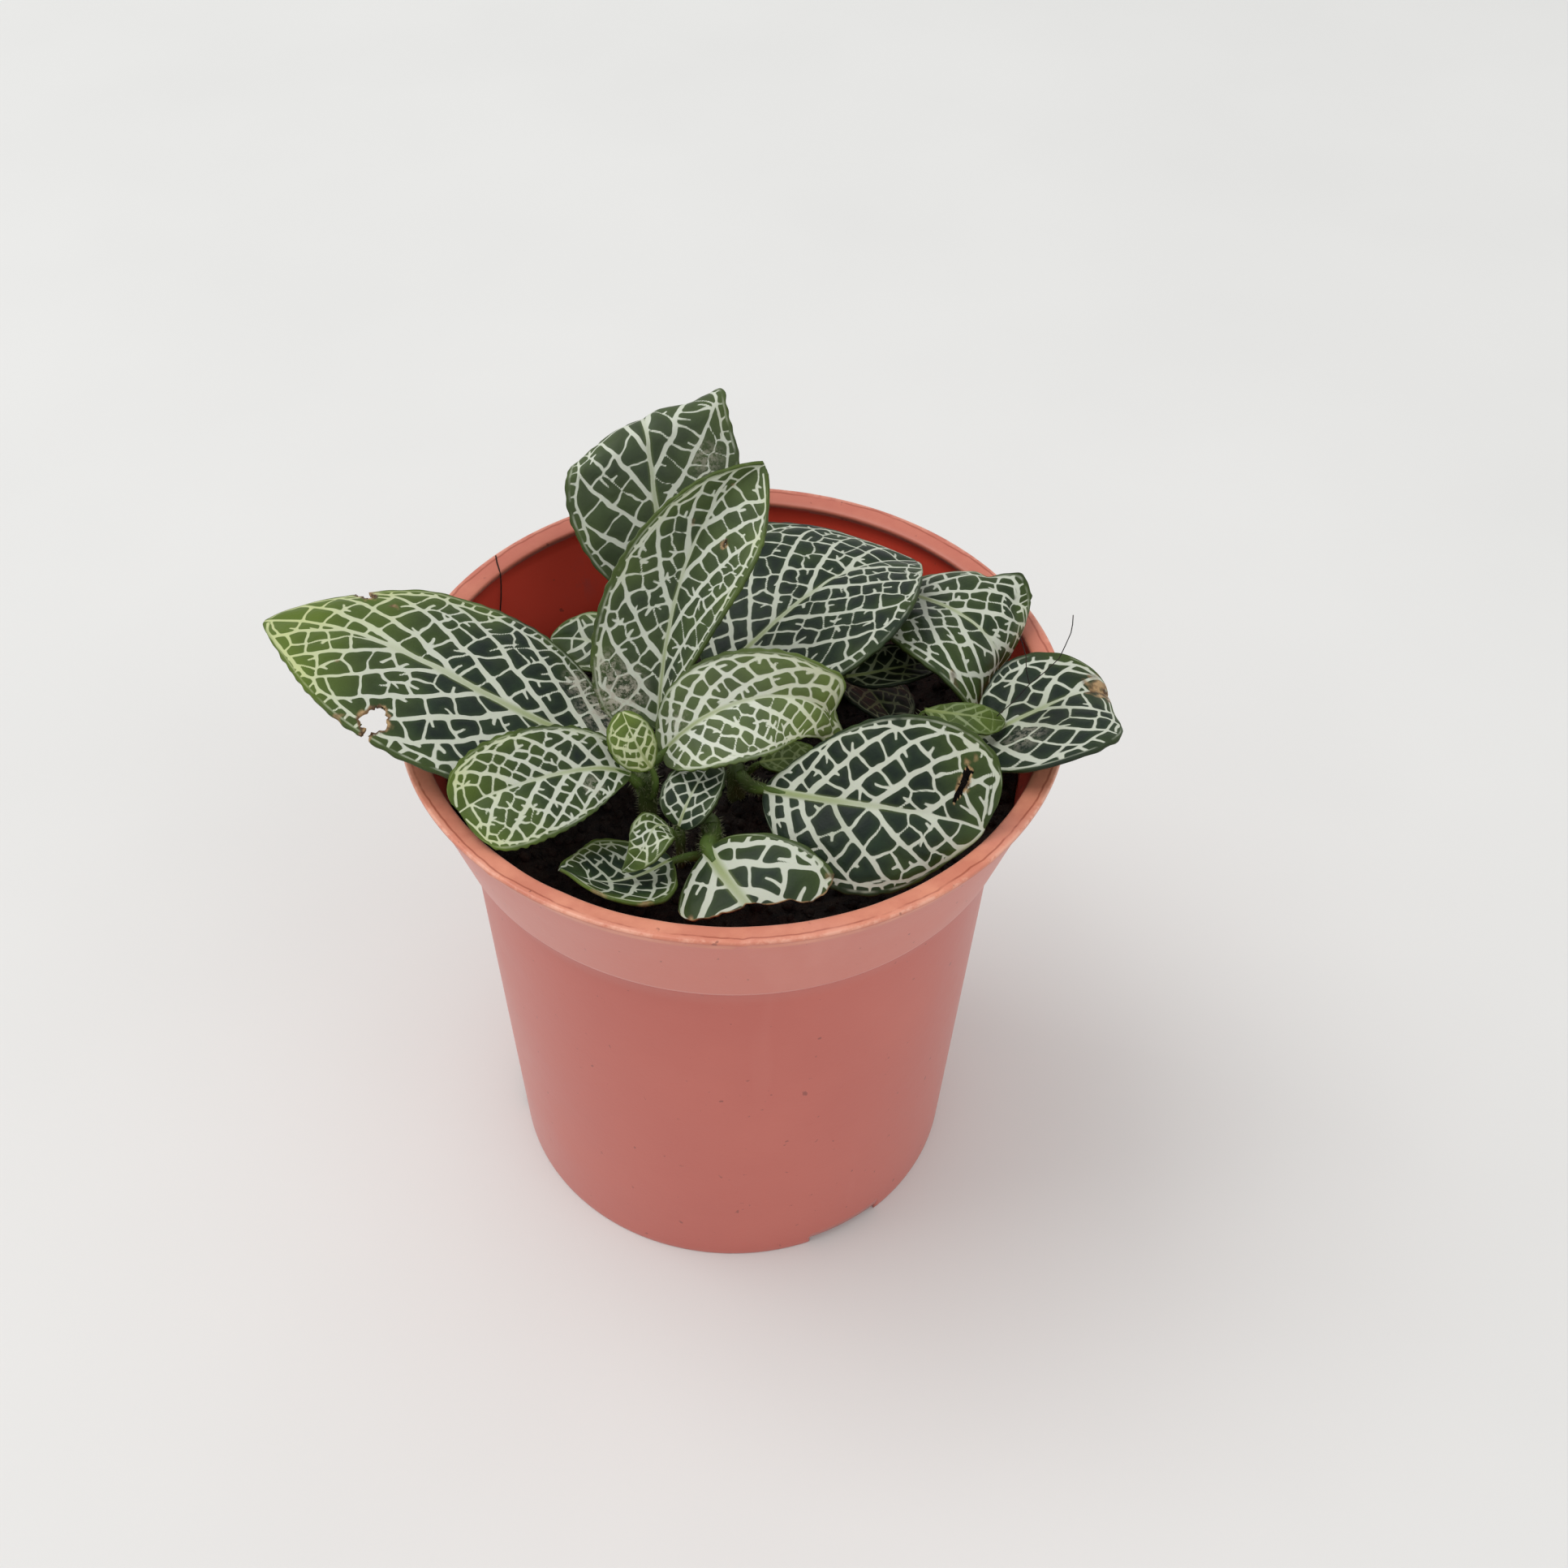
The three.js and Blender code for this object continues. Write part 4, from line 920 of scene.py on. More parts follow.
def grow_stalk(bm, name, place):
    """The stalk of a leaf, with its fine hairs."""
    path = stalk_path(name)
    thick = LEAVES[name]["stalk"] * 0.92
    radii = [thick * (0.42 + 0.58 * min(1, k * 2.2)) for k in np.linspace(0, 1, len(path))]
    tube(bm, path, radii, 12, place)
    rng = random.Random(name + "hair")
    count = int(26 * sum((b - a).length for a, b in zip(path, path[1:])) ** 0.5 * thick)
    for _ in range(count):
        k = rng.randrange(3, len(path) - 1)
        ahead = (path[k + 1] - path[k]).normalized()
        out = ahead.orthogonal().normalized()
        out.rotate(Matrix.Rotation(rng.uniform(0, 2 * math.pi), 3, ahead))
        spot = path[k].lerp(path[k + 1], rng.random()) + out * radii[k] * 0.96
        hair(bm, spot, out + ahead * rng.uniform(-0.5, 0.2), rng.uniform(0.5, 1.1), place)


def build_blade(name, settings, materials):
    """One leaf: veined blade with its marks and cuts, its thickness and its hairy stalk."""
    bm, blade = laid_flat(name, settings)
    points, up = shaped(name, blade, settings)
    place = bm.verts.layers.int.new("place")
    for index, (vert, point) in enumerate(zip(bm.verts, points)):
        vert.co = point
        vert[place] = index
    if blade.gone.any():
        doomed = [vert for vert, out in zip(bm.verts, blade.gone) if out]
        bmesh.ops.delete(bm, geom=doomed, context="VERTS")
        loose = [vert for vert in bm.verts if not vert.link_faces]
        bmesh.ops.delete(bm, geom=loose, context="VERTS")
    bmesh.ops.recalc_face_normals(bm, faces=bm.faces)
    bm.faces.ensure_lookup_table()
    if sum(face.normal.dot(up) for face in bm.faces[:40]) < 0:
        bmesh.ops.reverse_faces(bm, faces=bm.faces)
    solid_blade(bm, settings.thickness / MM)
    grow_stalk(bm, name, place)
    piece = new_piece(name + "_fine", bm, materials)
    mark_vertices(piece.data, blade_marks(name, blade))
    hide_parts(name)


def solid_blade(bm, thickness):
    """Gives the blade its thickness, half to each side, with the underside marked."""
    top = list(bm.faces)
    under = bmesh.ops.duplicate(bm, geom=bm.verts[:] + bm.edges[:] + bm.faces[:])
    copies = [item for item in under["geom"] if isinstance(item, bmesh.types.BMFace)]
    twin = under["vert_map"]
    bm.normal_update()
    moves = {vert: vert.normal.copy() for face in top for vert in face.verts}
    rims = [edge for face in top for edge in face.edges if len(edge.link_faces) == 1]
    for vert, normal in moves.items():
        twin[vert].co = vert.co - normal * thickness * 0.5
        vert.co = vert.co + normal * thickness * 0.5
    bmesh.ops.reverse_faces(bm, faces=copies)
    for face in copies:
        face.material_index = 1
    for edge in set(rims):
        loop = edge.link_loops[0]
        a, b = loop.vert, loop.link_loop_next.vert
        bm.faces.new((b, a, twin[a], twin[b]))


# ---------------------------------------------------------------- materials


class Nodes:
    """Short ways to build a procedural material."""

    def __init__(self, name, roughness, specular=0.5):
        self.material = bpy.data.materials.new(name)
        self.material.use_nodes = True
        self.tree = self.material.node_tree
        self.shader = self.tree.nodes["Principled BSDF"]
        self.shader.inputs["Roughness"].default_value = roughness
        self.shader.inputs["Specular IOR Level"].default_value = specular

    def node(self, kind, **settings):
        made = self.tree.nodes.new(kind)
        for key, value in settings.items():
            setattr(made, key, value)
        return made

    def put(self, socket, value):
        if isinstance(value, bpy.types.NodeSocket):
            self.tree.links.new(value, socket)
        else:
            socket.default_value = value

    def attribute(self, name):
        return self.node("ShaderNodeAttribute", attribute_name=name).outputs["Fac"]

    def place(self):
        return self.node("ShaderNodeTexCoord").outputs["Object"]

    def sum(self, kind, first, second, third=None, clamp=False):
        made = self.node("ShaderNodeMath", operation=kind, use_clamp=clamp)
        self.put(made.inputs[0], first)
        self.put(made.inputs[1], second)
        if third is not None:
            self.put(made.inputs[2], third)
        return made.outputs[0]

    def times(self, first, second, clamp=False):
        return self.sum("MULTIPLY", first, second, clamp=clamp)

    def noise(self, scale, detail=3.0, roughness=0.5, where=None, stretch=None):
        made = self.node("ShaderNodeTexNoise")
        made.inputs["Scale"].default_value = scale
        made.inputs["Detail"].default_value = detail
        made.inputs["Roughness"].default_value = roughness
        where = where or self.place()
        if stretch:
            mapping = self.node("ShaderNodeMapping")
            mapping.inputs["Scale"].default_value = stretch
            self.put(mapping.inputs["Vector"], where)
            where = mapping.outputs[0]
        self.put(made.inputs["Vector"], where)
        return made.outputs["Fac"]

    def ramp(self, value, low, high, to_low=0.0, to_high=1.0, smooth=False):
        made = self.node("ShaderNodeMapRange")
        if smooth:
            made.interpolation_type = "SMOOTHSTEP"
        self.put(made.inputs["Value"], value)
        for key, number in (("From Min", low), ("From Max", high), ("To Min", to_low), ("To Max", to_high)):
            made.inputs[key].default_value = number
        return made.outputs["Result"]

    def mix(self, share, first, second, blend="MIX"):
        made = self.node("ShaderNodeMix", data_type="RGBA", blend_type=blend)
        self.put(made.inputs["Factor"], share)
        self.put(made.inputs[6], first)
        self.put(made.inputs[7], second)
        return made.outputs[2]

    def bump(self, height, strength, distance):
        made = self.node("ShaderNodeBump")
        made.inputs["Strength"].default_value = strength
        made.inputs["Distance"].default_value = distance
        self.put(made.inputs["Height"], height)
        self.put(self.shader.inputs["Normal"], made.outputs[0])


def leaf_material(name, settings, underside):
    """Green cells between pale veins, with the lime, brown and grey marks of age, one painted sheen and
    painted shade on the shaded blades.
    """
    m = Nodes(name, 0.55 if underside else 0.5, 0.22)
    vein = m.attribute("vein")
    fine = m.noise(1400, 2)
    edge = m.sum("MULTIPLY_ADD", m.sum("SUBTRACT", fine, 0.5), 0.08, vein)
    inside = m.ramp(edge, 0.075, -0.06, smooth=True)
    off_hem = m.sum("ABSOLUTE", m.sum("SUBTRACT", m.attribute("hem"), 1.0), 0.0)
    hem = m.times(m.ramp(off_hem, 0.34, 0.1), m.ramp(m.noise(330, 2), 0.36, 0.6))
    inside = m.sum("MAXIMUM", inside, m.times(hem, 0.6))
    dark, lime = tuple(settings.leaf_green), tuple(settings.lime)
    patchy = m.noise(260, 3)
    deep = m.mix(m.ramp(patchy, 0.4, 0.75), dark, linear(30, 48, 30))
    # painted shade: cells of blades with fresh below zero are painted toward near black
    deep = m.mix(m.ramp(m.attribute("fresh"), 0.0, -0.8), deep, linear(6, 12, 5))
    fresh = m.ramp(m.attribute("fresh"), 0.0, 1.0)
    cell = m.mix(fresh, deep, lime)
    pale = m.mix(m.ramp(m.attribute("fresh"), 0.25, 1.0), tuple(settings.vein), linear(190, 198, 142))
    # painted shade: veins of blades with fresh below zero are painted dimmer
    pale = m.mix(m.ramp(m.attribute("fresh"), -0.1, -0.8), pale, linear(112, 122, 84))
    # low clear dims the veins: painted shade on leaf_shaded_young and leaf_front_low
    pale = m.mix(m.attribute("clear"), m.mix(0.35, cell, linear(112, 140, 40)), pale)
    glow = m.ramp(vein, 0.75, 0.0)
    cell = m.mix(m.times(glow, 0.14), cell, linear(84, 104, 58))
    cell = m.mix(m.attribute("bright"), cell, linear(172, 186, 146))
    pale = m.mix(m.times(m.attribute("bright"), 4.0, clamp=True), pale, linear(226, 231, 216))
    pale = m.mix(m.times(m.ramp(m.attribute("edge"), 1.0, 0.2), 0.65), pale, linear(96, 116, 66))
    colour = m.mix(inside, cell, pale)
    colour = m.mix(m.times(m.attribute("midrib"), 0.8), colour, linear(134, 148, 84))
    rim = m.ramp(m.attribute("edge"), 0.34, 0.1)
    colour = m.mix(m.times(rim, 0.8), colour, m.mix(fresh, linear(26, 38, 24), linear(84, 102, 36)))
    # grey dust scuffs, with a painted sheen on leaf_centre_front
    scuffs_and_sheen = m.times(m.attribute("scuff_and_sheen"), m.ramp(m.noise(1100, 5, 0.75), 0.44, 0.56))
    colour = m.mix(m.times(scuffs_and_sheen, 0.85, clamp=True), colour, linear(186, 180, 164))
    brown = m.ramp(m.sum("ADD", m.attribute("brown"), m.times(m.noise(700, 3), 0.4)), 0.45, 0.85)
    brown_tone = m.mix(m.ramp(m.noise(620, 3), 0.4, 0.6), linear(170, 140, 100), linear(86, 64, 44))
    colour = m.mix(brown, colour, brown_tone)
    if underside:
        colour = m.mix(0.55, colour, linear(112, 128, 92))
    hairs = m.ramp(m.attribute("stalk"), 1.2, 1.6)
    stem = m.mix(m.noise(420, 3), linear(58, 80, 32), linear(92, 112, 52))
    stem = m.mix(hairs, stem, linear(140, 146, 112))
    colour = m.mix(m.ramp(m.attribute("stalk"), 0.4, 0.6), colour, stem)
    m.put(m.shader.inputs["Base Color"], colour)
    dust = m.noise(2600, 2)
    m.bump(m.sum("ADD", m.times(dust, 0.35), m.times(inside, -0.25)), 0.35, 0.0003)
    m.shader.inputs["Subsurface Weight"].default_value = 0.06
    m.shader.inputs["Subsurface Radius"].default_value = (0.0006, 0.001, 0.0003)
    return m.material


def pot_material(settings):
    """Thin pressed plastic: dusty outside, warm rim, and inside a deeper red that is painted light shining
    through the wall; painted shade and highlights on the lip and collar.
    """
    m = Nodes("pot_plastic", 0.4, 0.5)
    where = m.place()
    parts = m.node("ShaderNodeSeparateXYZ")
    m.put(parts.inputs[0], where)
    height = parts.outputs["Z"]
    side, rim, inner = tuple(settings.pot_side), tuple(settings.pot_rim), tuple(settings.pot_inside)
    cloud = m.noise(38, 4, 0.55)
    colour = m.mix(m.ramp(cloud, 0.35, 0.7, 0, 0.5), side, linear(202, 112, 98))
    # painted light: the flared collar above the step is painted lighter, for the light that falls on it
    up = m.ramp(height, 0.078, 0.081)
    colour = m.mix(m.times(up, 0.6), colour, linear(212, 128, 112))
    # painted light: the inner wall takes a brighter, deeper red for light shining through the thin plastic
    colour = m.mix(m.ramp(m.attribute("inside"), 0.4, 0.6), colour, inner)
    # pinker vertical streaks on the inner wall round one spot
    apart = m.node("ShaderNodeVectorMath", operation="DISTANCE")
    m.put(apart.inputs[0], where)
    apart.inputs[1].default_value = STREAK_SPOT
    near_streak_spot = m.ramp(apart.outputs["Value"], 0.0045, 0.001)
    streaks = m.ramp(m.noise(300, 4, 0.7, where, (1, 1, 0.4)), 0.5, 0.62)
    colour = m.mix(m.times(m.times(near_streak_spot, streaks), 0.55), colour, linear(196, 78, 70))
    lip = m.attribute("lip")
    worn = m.ramp(m.noise(120, 5, 0.65), 0.42, 0.66)
    worn_and_shaded_rim = m.mix(m.times(worn, 0.45), rim, linear(240, 164, 132))
    # painted shade: the rim is painted darker toward the back
    worn_and_shaded_rim = m.mix(m.ramp(parts.outputs["Y"], 0.005, 0.03, 0, 0.6), worn_and_shaded_rim, linear(186, 96, 80))
    colour = m.mix(m.ramp(lip, 0.4, 0.6), colour, worn_and_shaded_rim)
    flaked = m.times(m.attribute("wear"), m.ramp(m.noise(170, 5, 0.75), 0.44, 0.56))
    colour = m.mix(m.times(flaked, 0.85, clamp=True), colour, linear(242, 184, 160))
    # painted shadow: a darker band under the lip's outer edge
    colour = m.mix(m.times(m.attribute("lip_undercut_shade"), 0.4), colour, linear(170, 66, 54))
    # painted shade: a dark, broken, wavering line in the crease on top of the lip
    level = m.node("ShaderNodeVectorMath", operation="MULTIPLY")
    m.put(level.inputs[0], where)
    level.inputs[1].default_value = (1, 1, 0)
    out = m.node("ShaderNodeVectorMath", operation="LENGTH")
    m.put(out.inputs[0], level.outputs["Vector"])
    drift = m.sum("MULTIPLY_ADD", m.sum("SUBTRACT", m.noise(60, 4, 0.7), 0.5), 0.0018, 0.04905)
    off_line = m.sum("ABSOLUTE", m.sum("SUBTRACT", out.outputs["Value"], drift), 0.0)
    line = m.times(m.ramp(off_line, 0.00022, 0.00006), m.ramp(m.noise(75, 4, 0.7), 0.38, 0.5))
    line = m.times(line, m.ramp(m.attribute("outer"), 0.4, 0.6))
    colour = m.mix(m.times(line, 0.7), colour, linear(150, 66, 42))
    # painted highlight: a pale line along the lower edge of the collar
    foot = m.ramp(m.sum("ABSOLUTE", m.sum("SUBTRACT", height, 0.08005), 0.0), 0.0005, 0.0001)
    foot = m.times(foot, m.ramp(m.noise(30, 3), 0.3, 0.6))
    colour = m.mix(m.times(foot, 0.45), colour, linear(236, 176, 166))
    specks = m.ramp(m.noise(750, 2, 0.4), 0.73, 0.77)
    colour = m.mix(m.times(specks, 0.55), colour, linear(104, 46, 38))
    streak = m.ramp(m.noise(60, 3, 0.6, where, (1, 1, 0.12)), 0.6, 0.78)
    colour = m.mix(m.times(streak, 0.2), colour, linear(226, 156, 142))
    m.put(m.shader.inputs["Base Color"], colour)
    m.put(m.shader.inputs["Roughness"], m.ramp(cloud, 0.3, 0.75, 0.34, 0.48))
    grain = m.sum("ADD", m.times(m.noise(1500, 2), 0.3), m.times(m.noise(220, 3), 0.7))
    m.bump(grain, 0.12, 0.0004)
    m.shader.inputs["Sheen Weight"].default_value = 0.14
    m.shader.inputs["Sheen Roughness"].default_value = 0.4
    return m.material


def soil_material(settings):
    """Damp peat: almost black, with brown fibres and a few pale grains."""
    m = Nodes("dark_soil", 0.85, 0.3)
    grain = m.noise(420, 5, 0.7)
    colour = m.mix(m.ramp(grain, 0.4, 0.75), tuple(settings.soil), linear(58, 44, 36))
    pale = m.ramp(m.noise(900, 2, 0.5), 0.74, 0.78)
    colour = m.mix(m.times(pale, 0.5), colour, linear(120, 104, 84))
    m.put(m.shader.inputs["Base Color"], colour)
    m.bump(grain, 0.8, 0.0012)
    return m.material


def stem_material():
    """Fleshy green stems, browner toward the soil."""
    m = Nodes("green_stem", 0.5, 0.4)
    parts = m.node("ShaderNodeSeparateXYZ")
    m.put(parts.inputs[0], m.place())
    colour = m.mix(m.noise(380, 4, 0.6), linear(52, 70, 30), linear(86, 104, 50))
    low = m.ramp(parts.outputs["Z"], 0.0925, 0.086)
    colour = m.mix(m.times(low, 0.7), colour, linear(84, 74, 46))
    colour = m.mix(m.ramp(m.attribute("stalk"), 1.2, 1.6), colour, linear(150, 156, 120))
    m.put(m.shader.inputs["Base Color"], colour)
    m.bump(m.noise(1200, 3, 0.6, stretch=(1, 1, 0.3)), 0.3, 0.0003)
    return m.material


def floor_material(settings):
    """A quiet pale surface, with the faintest unevenness."""
    m = Nodes("pale_floor", 0.7, 0.3)
    colour = tuple(settings.floor)
    shade = (*(part * 0.965 for part in colour[:3]), 1.0)
    m.put(m.shader.inputs["Base Color"], m.mix(m.ramp(m.noise(9, 3), 0.3, 0.7), colour, shade))
    return m.material


# ---------------------------------------------------------------- pot, soil and stems

# Sizes of the pot and the soil in mm, angles in degrees
RIM, HEIGHT, LIP_THICK, WALL = 50.0, 98.5, 0.9, 1.2
BODY_FOOT, BODY_TOP, FOOT = 38.9, 42.0, 37.4
COLLAR_LOW_RADIUS, COLLAR_MIDDLE = 44.3, (46.8, 89.0)
DRAIN_COUNT, DRAIN_RADIUS, DRAIN_CIRCLE = 6, 3.5, 24.0
NOTCH_COUNT, NOTCH_START, NOTCH_HALF_SPAN = 3, -59.5, 10.5
# Nicks in the lip: angle and reach in radians, depth in mm
NICKS = ((-1.555, 0.012, 0.5), (-2.3, 0.02, 0.35))
FLOOR_TOP = 3.4
# Centre of the pinker streaks on the inner wall, in metres
STREAK_SPOT = (-0.0254, 0.0375, 0.0884)
SOIL_Z, SOIL_RADIUS, SOIL_SHOULDER = 86.0, 44.0, 84.6


def spin_profile(bm, profile, steps):
    """Sweeps a profile of (radius, height) round the vertical axis."""
    verts = [bm.verts.new((r, 0.0, z)) for r, z in profile]
    edges = [bm.edges.new(pair) for pair in zip(verts, verts[1:])]
    bmesh.ops.spin(
        bm,
        geom=verts + edges,
        cent=(0, 0, 0),
        axis=(0, 0, 1),
        dvec=(0, 0, 0),
        angle=2 * math.pi,
        steps=steps,
        use_merge=True,
    )
    bmesh.ops.remove_doubles(bm, verts=bm.verts, dist=1e-4)
    bmesh.ops.recalc_face_normals(bm, faces=bm.faces)


def run_between(first, last, count):
    """Evenly spaced points from one profile point up to, not with, the next."""
    return [
        (first[0] + (last[0] - first[0]) * k / count, first[1] + (last[1] - first[1]) * k / count)
        for k in range(count)
    ]


def pot_profile():
    """Outside, lip and inside of the pot wall, with soft small edges."""
    top, middle = HEIGHT, COLLAR_MIDDLE
    inner_low, inner_middle = (COLLAR_LOW_RADIUS - WALL, 81.2), (middle[0] - WALL, middle[1])
    outside = [
        (7.0, 0.0), (7.5, 2.0), (35.3, 2.0), (35.6, 1.7), (35.6, 0.12), (35.72, 0.0), (38.5, 0.0),
        (38.7, 0.1), (38.78, 0.35), (38.84, 1.5),
    ]
    outside += run_between((BODY_FOOT, 3.0), (BODY_TOP, 79.2), 16)
    outside += [(BODY_TOP, 79.2), (42.25, 79.42), (43.7, 79.62), (44.0, 79.75), (44.2, 80.1)]
    outside += run_between((44.32, 80.5), middle, 5) + run_between(middle, (49.2, 96.6), 5)
    outside += [
        (49.3, 97.1), (49.6, top - LIP_THICK - 0.02), (49.85, top - LIP_THICK + 0.05), (RIM, top - 0.65),
        (RIM, top - 0.3), (49.9, top - 0.08), (49.65, top), (48.9, top - 0.06), (47.6, top - 0.3),
        (46.9, top - 0.44), (46.65, top - 0.62), (46.6, top - 0.9), (46.7, top - 1.25), (47.1, top - 1.6),
    ]
    inside = run_between((47.6, 95.9), inner_middle, 5) + run_between(inner_middle, inner_low, 5)
    inside += [inner_low, (42.9, 80.4), (41.1, 79.9), (40.8, 79.6)]
    inside += run_between((40.78, 79.0), (37.15, 4.6), 12) + [(37.1, 4.4), (36.6, 3.55), (36.1, FLOOR_TOP)]
    return [(0.0, 0.0)] + outside + inside + [(0.0, FLOOR_TOP)]


def wall_inside(z):
    """Radius of the pot's inner face at a height, in mm."""
    return np.interp(z, [3.4, 79.6, 81.2, 89, 96, 98.6], [37.2, 40.85, 43.2, 45.7, 47.9, 46.5])


def cut_foot(piece):
    """Cuts the drain holes and the notches of the foot ring."""
    cutters = bmesh.new()
    for k in range(DRAIN_COUNT):
        angle = 2 * math.pi * k / DRAIN_COUNT
        spot = Vector((DRAIN_CIRCLE * math.cos(angle), DRAIN_CIRCLE * math.sin(angle), 1.5)) * MM
        bmesh.ops.create_cone(
            cutters, cap_ends=True, segments=32, radius1=DRAIN_RADIUS * MM, radius2=DRAIN_RADIUS * MM,
            depth=0.009, matrix=Matrix.Translation(spot),
        )
    span = 2 * FOOT * MM * math.sin(math.radians(NOTCH_HALF_SPAN))
    shape = Matrix.Translation((FOOT * MM, 0, 0)) @ Matrix.Diagonal((0.01, span, 0.0036, 1))
    for k in range(NOTCH_COUNT):
        turn = Matrix.Rotation(math.radians(NOTCH_START + 360 / NOTCH_COUNT * k), 4, "Z")
        bmesh.ops.create_cube(cutters, size=1.0, matrix=turn @ shape)
    tool = new_object("cutters", mesh_of("cutters", cutters))
    cut = piece.modifiers.new("cut", "BOOLEAN")
    cut.object, cut.operation, cut.solver = tool, "DIFFERENCE", "EXACT"
    apply_modifiers(piece)
    bpy.data.objects.remove(tool)


def wear_pot(mesh):
    """Wavers and nicks the lip, takes the wall a little out of round and marks its parts."""
    places = np.empty(len(mesh.vertices) * 3)
    mesh.vertices.foreach_get("co", places)
    places = places.reshape(-1, 3) / MM
    angle = np.arctan2(places[:, 1], places[:, 0])
    radius = np.hypot(places[:, 0], places[:, 1])
    z = places[:, 2]
    ring = np.stack([np.cos(angle), np.sin(angle)], 1)
    is_lip = (z > 95.8) & (radius > 46.2)
    waver = ripple(ring, 0.5, 11) + 0.6 * ripple(ring, 0.22, 12)
    on_left = np.clip(-ring[:, 0] * 0.8 - ring[:, 1] * 0.5, 0, 1)
    z = z + np.where(is_lip & (radius < 49.6), -0.12 * np.abs(waver) * (0.4 + on_left), 0)
    nick = sum(np.exp(-(((angle - at) / reach) ** 2)) * depth for at, reach, depth in NICKS)
    z = z - np.where(is_lip, nick * np.clip((radius - 47) / 2, 0, 1), 0)
    shrink = 1 - 0.0022 * (0.5 + 0.5 * ripple(ring, 1.3, 14)) * np.clip((z - 20) / 60, 0, 1)
    places = np.stack([places[:, 0] * shrink, places[:, 1] * shrink, z], 1)
    mesh.vertices.foreach_set("co", (places * MM).ravel())
    wear = np.exp(-(((radius - 49.85) / 0.28) ** 2) - ((z - 98.3) / 0.3) ** 2) * (z > 97.5)
    set_numbers(mesh, "inside", ((radius < wall_inside(z) + 0.35) & (z > 3.2) & (z < 97.6)).astype(float))
    set_numbers(mesh, "lip", (z > 96.85).astype(float))
    set_numbers(mesh, "wear", wear)
    set_numbers(mesh, "outer", ((radius > 47) & (z > 97.9)).astype(float))
    # where the painted shadow under the lip's outer edge lies
    set_numbers(mesh, "lip_undercut_shade", np.exp(-(((z - 97.8) / 0.2) ** 2)) * (radius > 49.4))
    mesh.update()


def build_pot(settings):
    """The nursery pot with its wavering lip, drain holes and foot notches."""
    bm = bmesh.new()
    spin_profile(bm, pot_profile(), settings.pot_steps)
    piece = new_piece("pot_fine", bm, [pot_material(settings)])
    cut_foot(piece)
    wear_pot(piece.data)
    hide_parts("pot")


def apply_modifiers(piece):
    """Turns a piece's modifiers into its own mesh."""
    graph = bpy.context.evaluated_depsgraph_get()
    made = bpy.data.meshes.new_from_object(piece.evaluated_get(graph))
    piece.modifiers.clear()
    old = piece.data
    piece.data = made
    bpy.data.meshes.remove(old)
    made.shade_smooth()


def soil_height(x, y):
    """Lumpy surface of the soil, in mm."""
    flat = np.stack([x, y], 1)
    radius = np.hypot(x, y)
    z = SOIL_Z + 0.9 * (1 - (radius / 44) ** 2)
    z = z + 0.75 * ripple(flat, 17, 51) + 0.5 * ripple(flat, 6, 52) + 0.28 * ripple(flat, 2.4, 53)
    turn = np.arctan2(y, x) - math.radians(127)
    z = z - 4.6 * np.exp(-((turn / 0.44) ** 4)) * np.clip((radius - 37.5) / 5, 0, 1)
    return z - 0.8 * np.clip((radius - 41.5) / 2.5, 0, 1)


def kept_in(x, y, z, room):
    """The place, drawn in where needed so that it stays clear of the pot's wall."""
    share = min(1.0, (float(wall_inside(z)) - room) / max(math.hypot(x, y), 1e-6))
    return x * share, y * share


def surface_at(x, y):
    """Height of the soil's surface at one place, in mm."""
    return float(soil_height(np.array([x]), np.array([y]))[0])


def add_crumbs(bm, count, rng):
    """Crumbs of many sizes, strewn over the soil."""
    for _ in range(count):
        angle = rng.uniform(0, 2 * math.pi)
        radius = 43.6 * math.sqrt(rng.random())
        size = 0.25 + 0.95 * rng.random() ** 3
        x, y = radius * math.cos(angle), radius * math.sin(angle)
        z = surface_at(x, y) + size * 0.25
        x, y = kept_in(x, y, z, 1.3)
        tilt = rng.uniform(0, 6.28)
        turn = Matrix.Rotation(tilt, 4, Vector((rng.random(), rng.random(), rng.random() + 0.1)))
        shape = Matrix.Diagonal((size * rng.uniform(0.7, 1.4), size, size * rng.uniform(0.5, 0.9), 1))
        place = Matrix.Translation((x, y, z)) @ turn @ shape
        bmesh.ops.create_icosphere(bm, subdivisions=1, radius=1.0, matrix=place)


def add_fibres(bm, count, rng):
    """Short fibres that wander over the soil."""
    for _ in range(count):
        angle, radius = rng.uniform(0, 2 * math.pi), 42 * math.sqrt(rng.random())
        x, y = radius * math.cos(angle), radius * math.sin(angle)
        heading = rng.uniform(0, 2 * math.pi)
        points = []
        for _ in range(6):
            z = surface_at(x, y) + rng.uniform(0.15, 0.9)
            points.append(Vector((*kept_in(x, y, z, 0.6), z)))
            heading += rng.uniform(-0.7, 0.7)
            x, y = x + 1.1 * math.cos(heading), y + 1.1 * math.sin(heading)
            if math.hypot(x, y) > 43.5:
                break
        if len(points) > 2:
            tube(bm, points, [0.09] * len(points), 4)


def build_soil(settings):
    """The plug of soil, crumbs on its surface and a few fibres."""
    bm = bmesh.new()
    top = [(r, SOIL_Z) for r in np.linspace(0, SOIL_RADIUS, 70)]
    side = [(SOIL_RADIUS, SOIL_SHOULDER), (42.6, 82.0), (40.2, 79.4), (36.6, 5.4), (35.4, 3.9), (0.0, 3.8)]
    spin_profile(bm, top + side, 180)
    for vert in bm.verts:
        x, y, z = vert.co
        if abs(z - SOIL_Z) < 1e-3:
            z = surface_at(x, y)
        elif z > 79:
            out = SOIL_RADIUS / math.hypot(x, y)
            z = min(z, surface_at(x * out, y * out) - 0.35 - (SOIL_SHOULDER - z) * 0.25)
        vert.co = (*kept_in(x, y, z, 0.25), z)
    rng = random.Random(7)
    add_crumbs(bm, settings.crumbs, rng)
    add_fibres(bm, settings.fibres, rng)
    piece = new_piece("soil_fine", bm, [soil_material(settings)])
    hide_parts("soil")
    return piece


